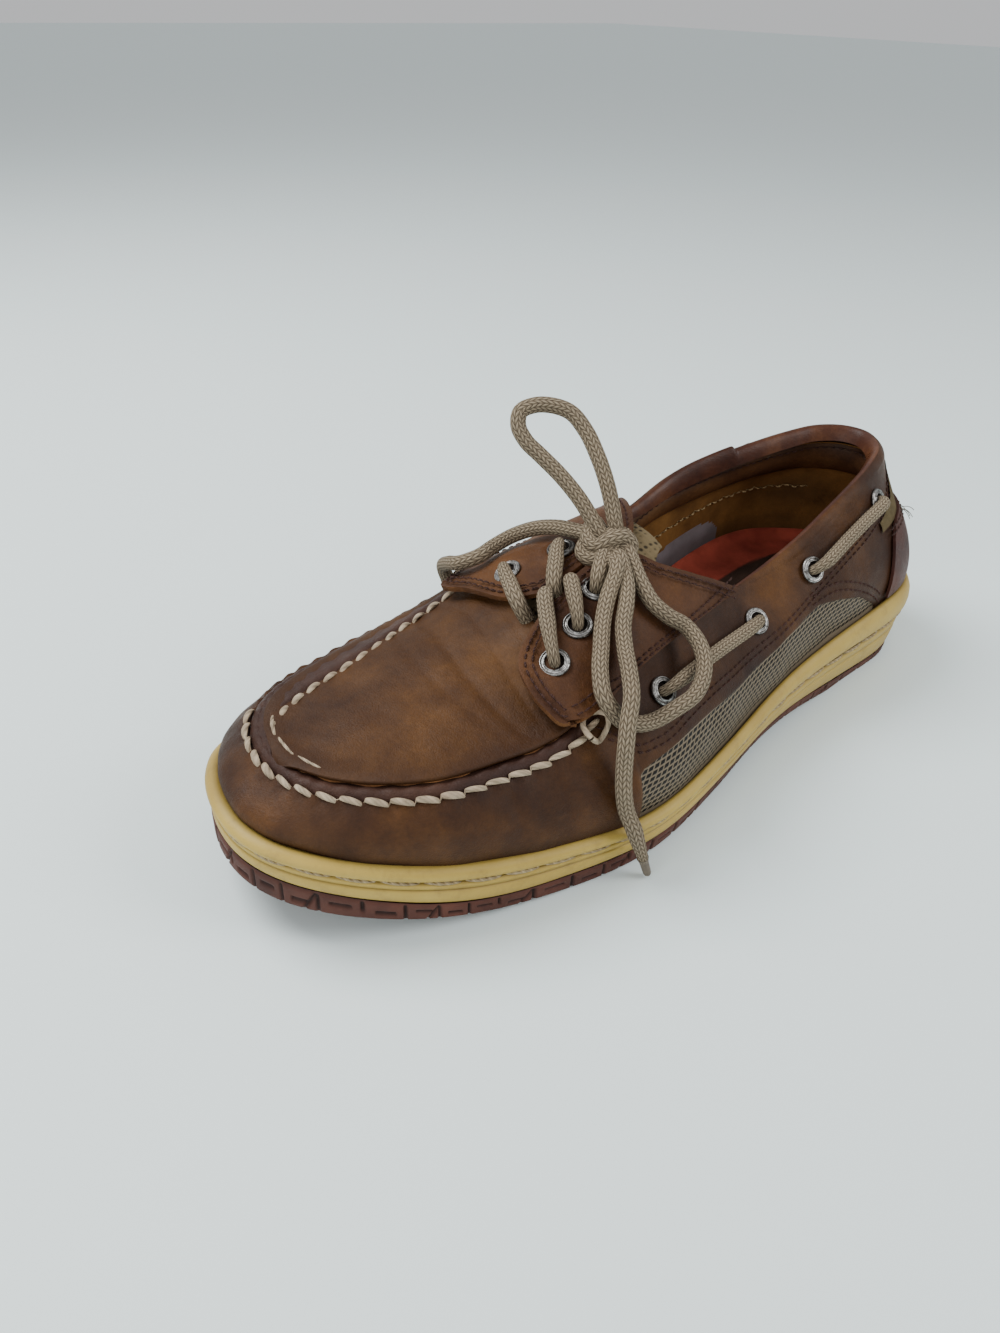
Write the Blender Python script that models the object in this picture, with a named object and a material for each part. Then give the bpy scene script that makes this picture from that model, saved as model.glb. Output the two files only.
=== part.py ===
"""A left boat shoe: cupped sole, hollow moccasin upper, eyestays, tongue, insole and lace.

Toe towards -Y, outer side towards +X, floor at Z = 0, origin under the middle of the sole.
All sizes are in metres; tables hold shares of the named sizes.
"""
import math

import bmesh
import bpy
import numpy as np
from mathutils import Matrix, Vector

for thing in list(bpy.data.objects):
    bpy.data.objects.remove(thing, do_unlink=True)

# Overall sizes of the last and the sole
LENGTH = 0.300
BALL_WIDTH = 0.115
COLLAR_HEIGHT = 0.080
INSTEP_RISE = 0.0195
HEEL_STACK = 0.0345
TOE_SPRING = 0.0149
ARCH_RISE = 0.0040
TREAD_CORE = 0.0045
TOE_CAP = 0.0070
PARTING_INSET = 0.0010
TREAD_ROUND = 0.0012
SHIFT_UP = np.array([0.0, 0.0, 1.0])

# Thicknesses and clearances
LEATHER = 0.0020
STAY_LEATHER = 0.0018
TONGUE_THICKNESS = 0.0024
COUNTER_LEATHER = 0.0014
INSOLE_THICKNESS = 0.0040
INSOLE_RIM = 0.0022
GAP = 0.0003

# Turned edges of the upper
SEAM_FOLD = 0.0052
SEAM_RISE = 0.0024
COLLAR_FOLD = 0.0066
COLLAR_RISE = 0.0026
COLLAR_TAIL = 0.0030

# Eyelets and lace
EYELET_FLANGE = 0.0049
EYELET_BARREL = 0.0039
EYELET_BORE = 0.0033
EYELET_DOME = 0.0015
FLANGE_GAP = 0.0008
HOLE_RADIUS = 0.0044
HOLE_DEPTH = 0.0060
EYELET_SEGMENTS = 8
LACE_RADIUS = 0.00255
LACE_SIDES = 6

# Grooves across the tread
GROOVE_WIDTH = 0.0016
GROOVE_DEPTH = 0.0013
GROOVE_PITCH = 0.0150

PAIRS = 28
PLUG_ROWS = 12
PLUG_COLUMNS = 8
LAST_ROW = 32
WALL_ROWS = (0.0, 0.12, 0.28, 0.45, 0.62, 0.80, 0.92, 1.0)

# Sole outline seen from above, from the heel round the outer side: side is a share of half
# the ball width, along a share of the length from the heel
OUTLINE = (
    (-0.11, 0.000), (0.50, 0.042), (0.73, 0.131), (0.76, 0.273), (0.84, 0.418), (1.00, 0.599),
    (0.915, 0.735), (0.71, 0.868), (0.32, 0.976), (-0.17, 1.000), (-0.69, 0.952), (-0.92, 0.848),
    (-1.00, 0.725), (-0.885, 0.555), (-0.71, 0.399), (-0.77, 0.251), (-0.77, 0.123), (-0.53, 0.045),
)

# Sole side by share of the length: rim, parting line and seat are shares of the heel stack;
# lip is the width of the cup's edge and under the inset of the tread, as shares of half the
# ball width
SOLE_COLUMNS = ("along", "rim", "parting", "seat", "lip", "under")
SOLE = (
    (0.00, 1.000, 0.116, 0.700, 0.090, 0.020),
    (0.15, 0.957, 0.100, 0.665, 0.062, 0.100),
    (0.32, 0.800, 0.225, 0.520, 0.052, 0.062),
    (0.48, 0.605, 0.215, 0.350, 0.040, 0.060),
    (0.65, 0.490, 0.180, 0.250, 0.042, 0.020),
    (0.82, 0.630, 0.240, 0.345, 0.048, 0.000),
    (1.00, 0.985, 0.680, 0.690, 0.085, 0.000),
)

# Upper edge of the side wall round the shoe from the heel by the outer side to the toe and back.
# round: share of the sole's edge; side, along, height: shares of half width, length and collar
# height; lean: angle of the wall at its edge; belly: bulge in shares of half width;
# seam: 1 on the raised moccasin seam, -1 on the rolled collar, 0 under the eyestays
WALL_COLUMNS = ("round", "side", "along", "height", "lean", "belly", "seam")
WALL = (
    (0.000, -0.05, 0.043, 1.000, 80, 0.035, -1.0),
    (0.030, 0.12, 0.057, 0.999, 80, 0.035, -1.0),
    (0.060, 0.26, 0.087, 0.994, 76, 0.035, -1.0),
    (0.090, 0.35, 0.130, 0.975, 70, 0.030, -1.0),
    (0.120, 0.41, 0.180, 0.944, 66, 0.028, -1.0),
    (0.150, 0.45, 0.237, 0.888, 62, 0.025, -1.0),
    (0.180, 0.465, 0.300, 0.800, 58, 0.025, -1.0),
    (0.205, 0.455, 0.353, 0.745, 54, 0.025, -0.8),
    (0.225, 0.430, 0.397, 0.719, 52, 0.025, -0.3),
    (0.245, 0.455, 0.447, 0.722, 50, 0.030, 0.0),
    (0.270, 0.495, 0.517, 0.725, 50, 0.035, 0.0),
    (0.295, 0.540, 0.583, 0.712, 50, 0.040, 0.0),
    (0.320, 0.610, 0.640, 0.665, 50, 0.045, 0.1),
    (0.338, 0.705, 0.688, 0.590, 48, 0.045, 0.8),
    (0.360, 0.715, 0.730, 0.550, 44, 0.045, 1.0),
    (0.385, 0.675, 0.782, 0.542, 42, 0.045, 1.0),
    (0.410, 0.605, 0.840, 0.540, 40, 0.045, 1.0),
    (0.435, 0.470, 0.886, 0.540, 40, 0.045, 1.0),
    (0.460, 0.280, 0.924, 0.541, 40, 0.045, 1.0),
    (0.485, 0.080, 0.944, 0.543, 40, 0.045, 1.0),
    (0.510, -0.150, 0.949, 0.543, 40, 0.045, 1.0),
    (0.535, -0.370, 0.939, 0.542, 40, 0.045, 1.0),
    (0.562, -0.560, 0.913, 0.540, 42, 0.045, 1.0),
    (0.590, -0.690, 0.874, 0.534, 46, 0.040, 1.0),
    (0.617, -0.765, 0.826, 0.530, 50, 0.035, 1.0),
    (0.645, -0.825, 0.760, 0.534, 54, 0.035, 1.0),
    (0.670, -0.865, 0.697, 0.545, 56, 0.035, 1.0),
    (0.692, -0.835, 0.640, 0.595, 56, 0.035, 0.8),
    (0.715, -0.775, 0.590, 0.665, 56, 0.030, 0.1),
    (0.740, -0.725, 0.535, 0.715, 56, 0.025, 0.0),
    (0.765, -0.670, 0.470, 0.742, 58, 0.020, 0.0),
    (0.790, -0.635, 0.412, 0.755, 62, 0.015, -0.1),
    (0.810, -0.660, 0.367, 0.772, 68, 0.012, -0.7),
    (0.835, -0.695, 0.307, 0.820, 74, 0.012, -1.0),
    (0.865, -0.640, 0.240, 0.878, 74, 0.015, -1.0),
    (0.895, -0.535, 0.177, 0.935, 72, 0.025, -1.0),
    (0.925, -0.440, 0.120, 0.972, 74, 0.030, -1.0),
    (0.950, -0.350, 0.080, 0.992, 76, 0.035, -1.0),
    (0.975, -0.215, 0.053, 1.000, 80, 0.035, -1.0),
)

# Rows that cross the shoe, from the toe to the heel: where each row meets the sole's edge on
# the outer and inner side, and how far its crest stands over its ends as a share of the rise
ROW_COLUMNS = ("row", "outer", "inner", "crest")
ROWS = (
    (0.0, 0.500, 0.500, 0.00),
    (3.0, 0.461, 0.548, 0.06),
    (6.0, 0.419, 0.600, 0.20),
    (8.0, 0.390, 0.634, 0.34),
    (10.0, 0.360, 0.667, 0.50),
    (11.5, 0.338, 0.692, 0.65),
    (13.0, 0.317, 0.712, 0.78),
    (14.5, 0.297, 0.731, 0.84),
    (16.0, 0.276, 0.750, 0.88),
    (18.0, 0.251, 0.775, 0.95),
    (20.0, 0.225, 0.800, 1.00),
    (26.0, 0.118, 0.896, 1.00),
    (32.0, 0.000, 1.000, 1.00),
)

# Outlines of the eyestays in (row, share across from their own side); a share under zero runs
# down the wall. Foot and head both go from the front corner to the rear corner.
OUTER_STAY_FOOT = ((11.2, 0.030), (12.1, 0.000), (13.0, -0.040), (14.6, -0.055), (16.1, -0.045), (18.0, -0.020), (19.6, 0.010))
OUTER_STAY_HEAD = (
    (11.2, 0.030), (10.65, 0.050), (10.44, 0.110), (10.46, 0.197), (10.68, 0.268), (11.53, 0.338),
    (12.30, 0.356), (13.20, 0.362), (14.40, 0.376), (15.50, 0.372), (16.00, 0.330), (16.75, 0.213),
    (17.60, 0.140), (18.60, 0.070), (19.6, 0.010),
)
INNER_STAY_FOOT = (
    (11.35, 0.125), (12.1, 0.060), (13.0, -0.010), (14.6, -0.050), (16.1, -0.045), (18.0, -0.020), (19.6, 0.010),
)
INNER_STAY_HEAD = (
    (11.35, 0.125), (11.15, 0.150), (11.15, 0.200), (11.35, 0.270), (11.52, 0.360), (11.78, 0.455),
    (12.30, 0.545), (12.80, 0.596), (13.60, 0.602), (15.10, 0.598), (16.70, 0.585), (17.30, 0.500),
    (17.90, 0.380), (18.60, 0.230), (19.6, 0.010),
)
STAY_COLUMNS = 16
STAY_ROWS = 5
STAY_GAP = 0.0008
STAY_LIFT = ((10.0, 0.0046), (11.2, 0.0036), (12.0, 0.0022), (13.0, 0.0008), (14.2, 0.0), (21.0, 0.0))
TONGUE_FRONT = 10.8
TONGUE_BACK = 17.7
TONGUE_HALF = 0.30

# Eyelets: on the stays in (row, share across from their own side), on the wall in (row, share
# up the wall)
OUTER_STAY_EYELETS = ((11.65, 0.200), (12.80, 0.214), (14.15, 0.272))
INNER_STAY_EYELETS = ((12.58, 0.375), (14.44, 0.458), (15.82, 0.452))
OUTER_WALL_EYELETS = ((14.83, 0.730), (20.15, 0.730), (22.95, 0.800), (27.00, 0.820))
INNER_WALL_EYELETS = ((15.20, 0.640), (20.60, 0.740), (23.60, 0.760), (27.20, 0.840))

# Collar lining and heel counter
COLLAR_START = 0.790
COLLAR_END = 0.212
LINING_PAD = 0.0026
LINING_GAP = 0.0008
COUNTER_REACH = 0.090
COUNTER_GAP = 0.0005
COUNTER_LOW = 0.030
COUNTER_HIGH = 0.520

# Lace: points are (row, share across, height over the upper); the standing loop's are
# metres from the knot
STRAND_STEPS = ((0.0, -0.0006), (0.0, 0.0026), (0.20, 0.0046), (0.55, 0.0040), (0.85, 0.0034), (1.0, 0.0030))
SHORT_STEPS = ((0.0, -0.0006), (0.0, 0.0024), (0.22, 0.0046), (0.46, 0.0044))
FRONT_MEET = (12.85, 0.380)
REAR_MEET = (14.28, 0.386)
KNOT_AT = (15.45, 0.385)
KNOT_HEIGHT = 0.0064
KNOT_REACH = 0.0046
LOOP_UP = (
    (-0.0052, -0.0012, 0.0046), (-0.0118, -0.0022, 0.0111), (-0.0194, -0.0044, 0.0175), (-0.0263, -0.0071, 0.0226),
    (-0.0314, -0.0091, 0.0264), (-0.0350, -0.0092, 0.0303), (-0.0364, -0.0073, 0.0338), (-0.0344, -0.0029, 0.0357),
    (-0.0313, 0.0008, 0.0358), (-0.0263, 0.0050, 0.0341), (-0.0207, 0.0067, 0.0295), (-0.0147, 0.0069, 0.0230),
    (-0.0084, 0.0061, 0.0152), (-0.0036, 0.0048, 0.0080), (-0.0020, 0.0042, 0.0054),
)
LOOP_DOWN = (
    (15.56, 0.262, 0.0070), (15.38, 0.176, 0.0066), (15.39, 0.108, 0.0064), (15.68, 0.047, 0.0064), (16.11, -0.004, 0.0066),
    (16.11, -0.128, 0.0086), (15.92, -0.235, 0.0098), (15.56, -0.324, 0.0100), (15.14, -0.365, 0.0098),
    (14.40, -0.367, 0.0080), (13.52, -0.345, 0.0044), (13.00, -0.292, 0.0044), (12.51, -0.187, 0.0046),
    (12.19, -0.055, 0.0066), (12.11, 0.016, 0.0086), (12.37, 0.060, 0.0088), (12.81, 0.099, 0.0074),
    (13.45, 0.157, 0.0066), (14.04, 0.202, 0.0076), (14.26, 0.216, 0.0080),
)
END_OUTER = (
    (15.02, 0.236, 0.0078), (14.84, 0.198, 0.0080), (14.45, 0.150, 0.0080), (13.89, 0.101, 0.0076), (13.43, 0.046, 0.0082),
    (12.91, 0.003, 0.0112), (12.41, -0.043, 0.0130), (12.15, -0.135, 0.0120), (12.00, -0.257, 0.0098),
    (11.98, -0.394, 0.0066), (11.92, -0.577, 0.0044), (12.04, -0.802, 0.0036),
)
END_DROP = (
    (0.0592, -0.0521, 0.0215), (0.0608, -0.0511, 0.0165), (0.0617, -0.0498, 0.0118), (0.0622, -0.0486, 0.0078),
)
END_INNER = (
    (15.02, 0.515, 0.0076), (14.84, 0.610, 0.0072), (14.48, 0.715, 0.0070), (13.86, 0.795, 0.0068),
    (13.18, 0.805, 0.0070), (12.58, 0.790, 0.0080), (12.10, 0.830, 0.0090), (12.00, 0.920, 0.0090), (12.10, 1.020, 0.0078),
    (12.30, 1.160, 0.0052), (12.50, 1.340, 0.0042), (12.60, 1.500, 0.0040),
)


def node(name, mesh, colour, roughness, metallic=0.0):
    """Puts a mesh in the scene as a named piece with its own material."""
    material = bpy.data.materials.new(name)
    material.use_nodes = True
    shader = material.node_tree.nodes["Principled BSDF"]
    shader.inputs["Base Color"].default_value = (*colour, 1.0)
    shader.inputs["Roughness"].default_value = roughness
    shader.inputs["Metallic"].default_value = metallic
    mesh.materials.append(material)
    mesh.shade_smooth()
    piece = bpy.data.objects.new(name, mesh)
    bpy.context.scene.collection.objects.link(piece)
    return piece


def through(knots, values, at, period=None):
    """Smooth curve through values at knots; with a period the curve closes on itself."""
    knots = np.array(knots, float)
    values = np.array(values, float)
    at = np.array(at, float)
    if period:
        at = np.mod(at, period)
        knots = np.concatenate([knots[-2:] - period, knots, knots[:3] + period])
        values = np.concatenate([values[-2:], values, values[:3]])
    step = np.diff(knots)
    rise = np.diff(values) / step
    slope = np.empty(len(knots))
    slope[1:-1] = (rise[:-1] * step[1:] + rise[1:] * step[:-1]) / (step[1:] + step[:-1])
    slope[0] = rise[0]
    slope[-1] = rise[-1]
    i = np.clip(np.searchsorted(knots, at, side="right") - 1, 0, len(step) - 1)
    u = np.clip((at - knots[i]) / step[i], 0.0, 1.0)
    return ((2 * u**3 - 3 * u**2 + 1) * values[i] + (u**3 - 2 * u**2 + u) * step[i] * slope[i]
            + (3 * u**2 - 2 * u**3) * values[i + 1] + (u**3 - u**2) * step[i] * slope[i + 1])


def column(table, columns, name):
    """One named column of a table."""
    place = columns.index(name)
    return [row[place] for row in table]


def sole_edge(count):
    """Evenly spaced points of the sole's outline, scaled to the real length and width."""
    points = np.array(OUTLINE)
    total = len(points)
    system = np.zeros((total, total))
    right = np.zeros((total, 2))
    for i in range(total):
        following = (i + 1) % total
        system[i, i] = 4.0
        system[i, i - 1] += 1.0
        system[i, following] += 1.0
        right[i] = 3.0 * (points[following] - points[i - 1])
    tangent = np.linalg.solve(system, right)
    fine = []
    for i in range(total):
        following = (i + 1) % total
        for u in np.arange(60) / 60:
            fine.append((2 * u**3 - 3 * u**2 + 1) * points[i] + (u**3 - 2 * u**2 + u) * tangent[i]
                        + (3 * u**2 - 2 * u**3) * points[following] + (u**3 - u**2) * tangent[following])
    fine = np.array(fine)
    low = fine.min(axis=0)
    high = fine.max(axis=0)
    share = (fine - low) / (high - low)
    flat = np.stack([(share[:, 0] - 0.5) * BALL_WIDTH, (0.5 - share[:, 1]) * LENGTH], axis=1)
    loop = np.vstack([flat, flat[:1]])
    walked = np.concatenate([[0.0], np.cumsum(np.linalg.norm(np.diff(loop, axis=0), axis=1))])
    at = np.arange(count) / count * walked[-1]
    return np.stack([np.interp(at, walked, loop[:, k]) for k in (0, 1)], axis=1)


EDGE_COUNT = 960
EDGE = sole_edge(EDGE_COUNT)
EDGE_NORMAL = np.roll(EDGE, -4, axis=0) - np.roll(EDGE, 4, axis=0)
EDGE_NORMAL = np.stack([-EDGE_NORMAL[:, 1], EDGE_NORMAL[:, 0]], axis=1)
EDGE_NORMAL /= np.linalg.norm(EDGE_NORMAL, axis=1)[:, None]


def on_edge(values, place):
    """Reads a closed array of edge values at a share of the way round."""
    at = (place % 1.0) * EDGE_COUNT
    low = int(at) % EDGE_COUNT
    part = at - int(at)
    return values[low] * (1.0 - part) + values[(low + 1) % EDGE_COUNT] * part


def sole_size(name, along):
    """A height or width of the sole's side at a share of the length."""
    unit = BALL_WIDTH / 2 if name in ("lip", "under") else HEEL_STACK
    return float(through(column(SOLE, SOLE_COLUMNS, "along"), column(SOLE, SOLE_COLUMNS, name), along)) * unit


def tread_height(along):
    """Height of the tread over the floor: flat, but for the arch and the toe spring."""
    toe = max(0.0, (along - 0.70) / 0.30)
    arch = max(0.0, 1.0 - ((along - 0.355) / 0.13) ** 2)
    return TOE_SPRING * toe**1.8 + ARCH_RISE * arch**1.5


def wall_size(name, place):
    """A column of the wall table at a share of the way round."""
    return float(through(column(WALL, WALL_COLUMNS, "round"), column(WALL, WALL_COLUMNS, name), place, 1.0))


class Station:
    """Everything that the wall needs at one place round the sole."""

    def __init__(self, place):
        self.place = place
        edge = on_edge(EDGE, place)
        self.out = np.array([*on_edge(EDGE_NORMAL, place), 0.0])
        self.out /= np.linalg.norm(self.out)
        self.along = 0.5 - edge[1] / LENGTH
        self.edge = np.array([edge[0], edge[1], 0.0])
        self.lip = sole_size("lip", self.along)
        self.rim = sole_size("rim", self.along)
        self.seat = sole_size("seat", self.along)
        self.parting = sole_size("parting", self.along)
        self.tread = tread_height(self.along)
        self.core = min(self.parting, self.tread + TREAD_CORE)
        self.under = sole_size("under", self.along)
        self.top = np.array([wall_size("side", place) * BALL_WIDTH / 2,
                             (0.5 - wall_size("along", place)) * LENGTH,
                             wall_size("height", place) * COLLAR_HEIGHT])
        self.lean = math.radians(wall_size("lean", place))
        self.belly = wall_size("belly", place) * BALL_WIDTH / 2
        self.seam = min(1.0, max(-1.0, wall_size("seam", place)))

    def sole_point(self, inset, height):
        point = self.edge - self.out * inset
        point[2] = height
        return point

    def side_point(self, inset, height):
        """A point of the sole's side, which leans inwards below the cup's floor."""
        drop = max(0.0, 1.0 - (height - self.tread) / (self.seat - self.tread))
        return self.sole_point(inset + self.under * drop, height)

    def wall(self, share):
        """Outer face of the wall from the cup's rim (0) to the upper edge (1)."""
        foot = self.sole_point(self.lip + GAP, self.rim)
        up = np.array([0.0, 0.0, 1.0])
        span = self.top - foot
        first = foot + up * span[2] * 0.42 + self.out * self.belly
        slope = up * math.sin(self.lean) - self.out * math.cos(self.lean)
        second = self.top - slope * np.linalg.norm(span) * 0.38
        u = share
        return ((1 - u)**3 * foot + 3 * (1 - u)**2 * u * first + 3 * (1 - u) * u**2 * second + u**3 * self.top)

    def fold(self):
        """Turned edge: the raised seam in front, the rolled collar behind, plain between."""
        front = max(0.0, self.seam)
        back = max(0.0, -self.seam)
        plain = 1.0 - front - back
        width = SEAM_FOLD * front + COLLAR_FOLD * back + 0.0016 * plain
        rise = SEAM_RISE * front + COLLAR_RISE * back 
        tail = -COLLAR_TAIL * back
        up = np.array([0.0, 0.0, 1.0])
        rows = []
        for inward, height, drop in ((0.14, 0.72, 0.0), (0.48, 1.0, 0.0), (0.84, 0.70, 0.15), (1.0, 0.0, 1.0)):
            rows.append(self.top - self.out * width * inward + up * (rise * height + tail * drop))
        return rows


def row_size(name, row):
    """A column of the cross row table."""
    return float(through(column(ROWS, ROW_COLUMNS, "row"), column(ROWS, ROW_COLUMNS, name), row))


STATIONS = {}


def station(place):
    """Stations are kept, because many pieces ask for the same ones."""
    key = round(place % 1.0, 6)
    if key not in STATIONS:
        STATIONS[key] = Station(key)
    return STATIONS[key]


def ring():
    """Stations from the heel round the outer side to the toe and back on the inner side."""
    rows = list(range(PLUG_ROWS + 1))
    behind = PAIRS - PLUG_ROWS
    for i in range(1, behind + 1):
        rows.append(PLUG_ROWS + (LAST_ROW - PLUG_ROWS) * i / behind)
    outer = [station(row_size("outer", row)) for row in rows[:0:-1]]
    inner = [station(row_size("inner", row)) for row in rows[:-1]]
    return outer + inner


def arch(first, last, crest, share):
    """A point over the line from first to last, raised like a vault."""
    height = crest * (1.0 - abs(2.0 * share - 1.0)**2.2)
    return first * (1.0 - share) + last * share + np.array([0.0, 0.0, height])


def saddle(row, share):
    """The last's upper side between the two wall edges: 0 is the outer edge, 1 the inner."""
    outer = station(row_size("outer", row))
    inner = station(row_size("inner", row))
    if share < 0.0:
        return outer.wall(1.0 + share)
    if share > 1.0:
        return inner.wall(2.0 - share)
    return arch(outer.top, inner.top, row_size("crest", row) * INSTEP_RISE, share)


def plug(row, share):
    """The same vault between the inner ends of the turned edges."""
    outer = station(row_size("outer", row)).fold()[-1]
    inner = station(row_size("inner", row)).fold()[-1]
    return arch(outer, inner, row_size("crest", row) * INSTEP_RISE, share)


def normal_of(surface, row, share):
    """Outward direction of a surface over rows and shares, from two short steps on it."""
    step = 0.02
    across = surface(row, share + step) - surface(row, share - step)
    ahead = surface(row + 0.2, share) - surface(row - 0.2, share)
    normal = np.cross(ahead, across)
    normal /= np.linalg.norm(normal)
    return normal if normal[2] > 0 else -normal


def wall_normal(place, share):
    """Outward direction of the wall at a place round the shoe and a share up the wall."""
    high = min(1.0, share + 0.03)
    rise = station(place).wall(high) - station(place).wall(share - 0.03)
    along = station(place + 0.008).wall(share) - station(place - 0.008).wall(share)
    normal = np.cross(rise, along)
    normal /= np.linalg.norm(normal)
    return normal if normal @ station(place).out > 0 else -normal


def close_loops(mesh, loops):
    """Faces between closed loops of vertices, each loop as long as the next."""
    for low, high in zip(loops, loops[1:]):
        total = len(low)
        for i in range(total):
            j = (i + 1) % total
            mesh.faces.new((low[i], low[j], high[j], high[i]))


def cap_pairs(mesh, loop):
    """Closes a loop with strips that cross the shoe."""
    total = len(loop)
    half = total // 2
    for i in range(half):
        outer = (loop[i], loop[i + 1])
        inner = (loop[(total - i) % total], loop[total - i - 1])
        for corners in ((outer[0], outer[1], inner[1]), (outer[0], inner[1], inner[0])):
            if len(set(corners)) == 3:
                mesh.faces.new(corners)


def finish(mesh, name):
    """Turns a bmesh into a mesh whose faces point out; an open sheet faces up."""
    bmesh.ops.recalc_face_normals(mesh, faces=mesh.faces)
    closed = all(edge.is_manifold for edge in mesh.edges)
    facing = mesh.calc_volume(signed=True) if closed else sum(face.normal.z for face in mesh.faces)
    if facing < 0.0:
        bmesh.ops.reverse_faces(mesh, faces=mesh.faces)
    data = bpy.data.meshes.new(name)
    mesh.to_mesh(data)
    mesh.free()
    return data


def loop_of(mesh, points):
    return [mesh.verts.new(point) for point in points]


def solidify(piece, thickness, offset):
    """Gives a sheet its wall; offset 1 grows outwards, -1 inwards."""
    wall = piece.modifiers.new("wall", "SOLIDIFY")
    wall.thickness = thickness
    wall.offset = offset
    wall.use_even_offset = False


RING = ring()


def parting_face(mesh, shift):
    """The face where outsole and midsole meet, stepped down behind the toe; returns its edge."""
    edge = loop_of(mesh, [s.side_point(PARTING_INSET, s.parting) + SHIFT_UP * shift for s in RING])
    core = loop_of(mesh, [s.side_point(TOE_CAP, s.core) + SHIFT_UP * shift for s in RING])
    for i in range(len(edge)):
        j = (i + 1) % len(edge)
        mesh.faces.new((edge[i], edge[j], core[j]))
        mesh.faces.new((edge[i], core[j], core[i]))
    cap_pairs(mesh, core)
    return edge


# Outsole: a rubber slab with the toe spring, the arch and grooves across its tread
def make_outsole():
    mesh = bmesh.new()
    loops = [
        loop_of(mesh, [s.side_point(TREAD_ROUND, s.tread) for s in RING]),
        loop_of(mesh, [s.side_point(0.0, s.tread + TREAD_ROUND) for s in RING]),
        loop_of(mesh, [s.side_point(0.0, (s.tread + s.parting) / 2) for s in RING]),
        parting_face(mesh, -GAP),
    ]
    close_loops(mesh, loops)
    cap_pairs(mesh, loops[0])
    outsole = node("outsole", finish(mesh, "outsole"), (0.075, 0.030, 0.021), 0.75)
    cutter_mesh = bmesh.new()
    starts = (0.045, 0.545)
    counts = (4, 5)
    for start, count in zip(starts, counts):
        for i in range(count):
            y = (0.5 - start) * LENGTH - i * GROOVE_PITCH
            place = Matrix.Translation((0.0, y, 0.0)) @ Matrix.Diagonal(
                (BALL_WIDTH * 1.2, GROOVE_WIDTH, GROOVE_DEPTH * 2, 1.0))
            bmesh.ops.create_cube(cutter_mesh, size=1.0, matrix=place)
    cutter = node("groove_cutter", finish(cutter_mesh, "groove_cutter"), (0.5, 0.5, 0.5), 0.5)
    cutter.hide_render = True
    cutter.display_type = "WIRE"
    cut = outsole.modifiers.new("grooves", "BOOLEAN")
    cut.operation = "DIFFERENCE"
    cut.object = cutter


# Midsole: the yellow cup with its bead, stitch groove and lower step round the side
def make_midsole():
    side = (
        (0.10, 0.0003), (0.34, 0.0002), (0.40, 0.0012), (0.52, 0.0012), (0.58, 0.0020),
        (0.64, 0.0006), (0.80, 0.0), (0.93, 0.0006), (1.00, 0.0020),
    )
    mesh = bmesh.new()
    loops = [parting_face(mesh, 0.0)]
    for height, inset in side:
        loops.append(loop_of(mesh, [s.side_point(inset, s.parting + (s.rim - s.parting) * height) for s in RING]))
    loops.append(loop_of(mesh, [s.sole_point(s.lip, s.rim - 0.0006) for s in RING]))
    loops.append(loop_of(mesh, [s.sole_point(s.lip, s.seat) for s in RING]))
    close_loops(mesh, loops)
    cap_pairs(mesh, loops[-1])
    node("midsole", finish(mesh, "midsole"), (0.50, 0.36, 0.10), 0.55)


# Insole: the footbed with its raised rim, inside the foot of the upper
def make_insole():
    mesh = bmesh.new()
    inset = LEATHER + 3 * GAP
    profile = (
        (0.0, GAP), (0.0, INSOLE_THICKNESS + INSOLE_RIM * 0.6), (0.0012, INSOLE_THICKNESS + INSOLE_RIM),
        (0.0034, INSOLE_THICKNESS + INSOLE_RIM), (0.0062, INSOLE_THICKNESS),
    )
    loops = []
    for inward, height in profile:
        loops.append(loop_of(mesh, [s.sole_point(s.lip + inset + inward, s.seat + height) for s in RING]))
    close_loops(mesh, loops)
    cap_pairs(mesh, loops[0])
    cap_pairs(mesh, loops[-1])
    node("insole", finish(mesh, "insole"), (0.060, 0.035, 0.022), 0.8)


# Upper: side wall, raised seam, plug and rolled collar in one leather shell
def make_upper():
    mesh = bmesh.new()
    loops = [
        loop_of(mesh, [s.sole_point(s.lip + GAP, s.seat + GAP) for s in RING]),
    ]
    for share in WALL_ROWS:
        loops.append(loop_of(mesh, [s.wall(share) for s in RING]))
    folds = [s.fold() for s in RING]
    for i in range(4):
        loops.append(loop_of(mesh, [fold[i] for fold in folds]))
    close_loops(mesh, loops)
    plug_edge = loops[-1]
    before = None
    tip = plug_edge[PAIRS]
    for row in range(1, PLUG_ROWS + 1):
        line = [plug_edge[PAIRS - row]]
        for j in range(1, PLUG_COLUMNS):
            line.append(mesh.verts.new(plug(row, j / PLUG_COLUMNS)))
        line.append(plug_edge[PAIRS + row])
        for j in range(PLUG_COLUMNS):
            if before is None:
                mesh.faces.new((tip, line[j], line[j + 1]))
            else:
                mesh.faces.new((before[j], line[j], line[j + 1], before[j + 1]))
        before = line
    upper = node("upper", finish(mesh, "upper"), (0.145, 0.062, 0.025), 0.6)
    solidify(upper, LEATHER, -1.0)
    return upper


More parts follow.
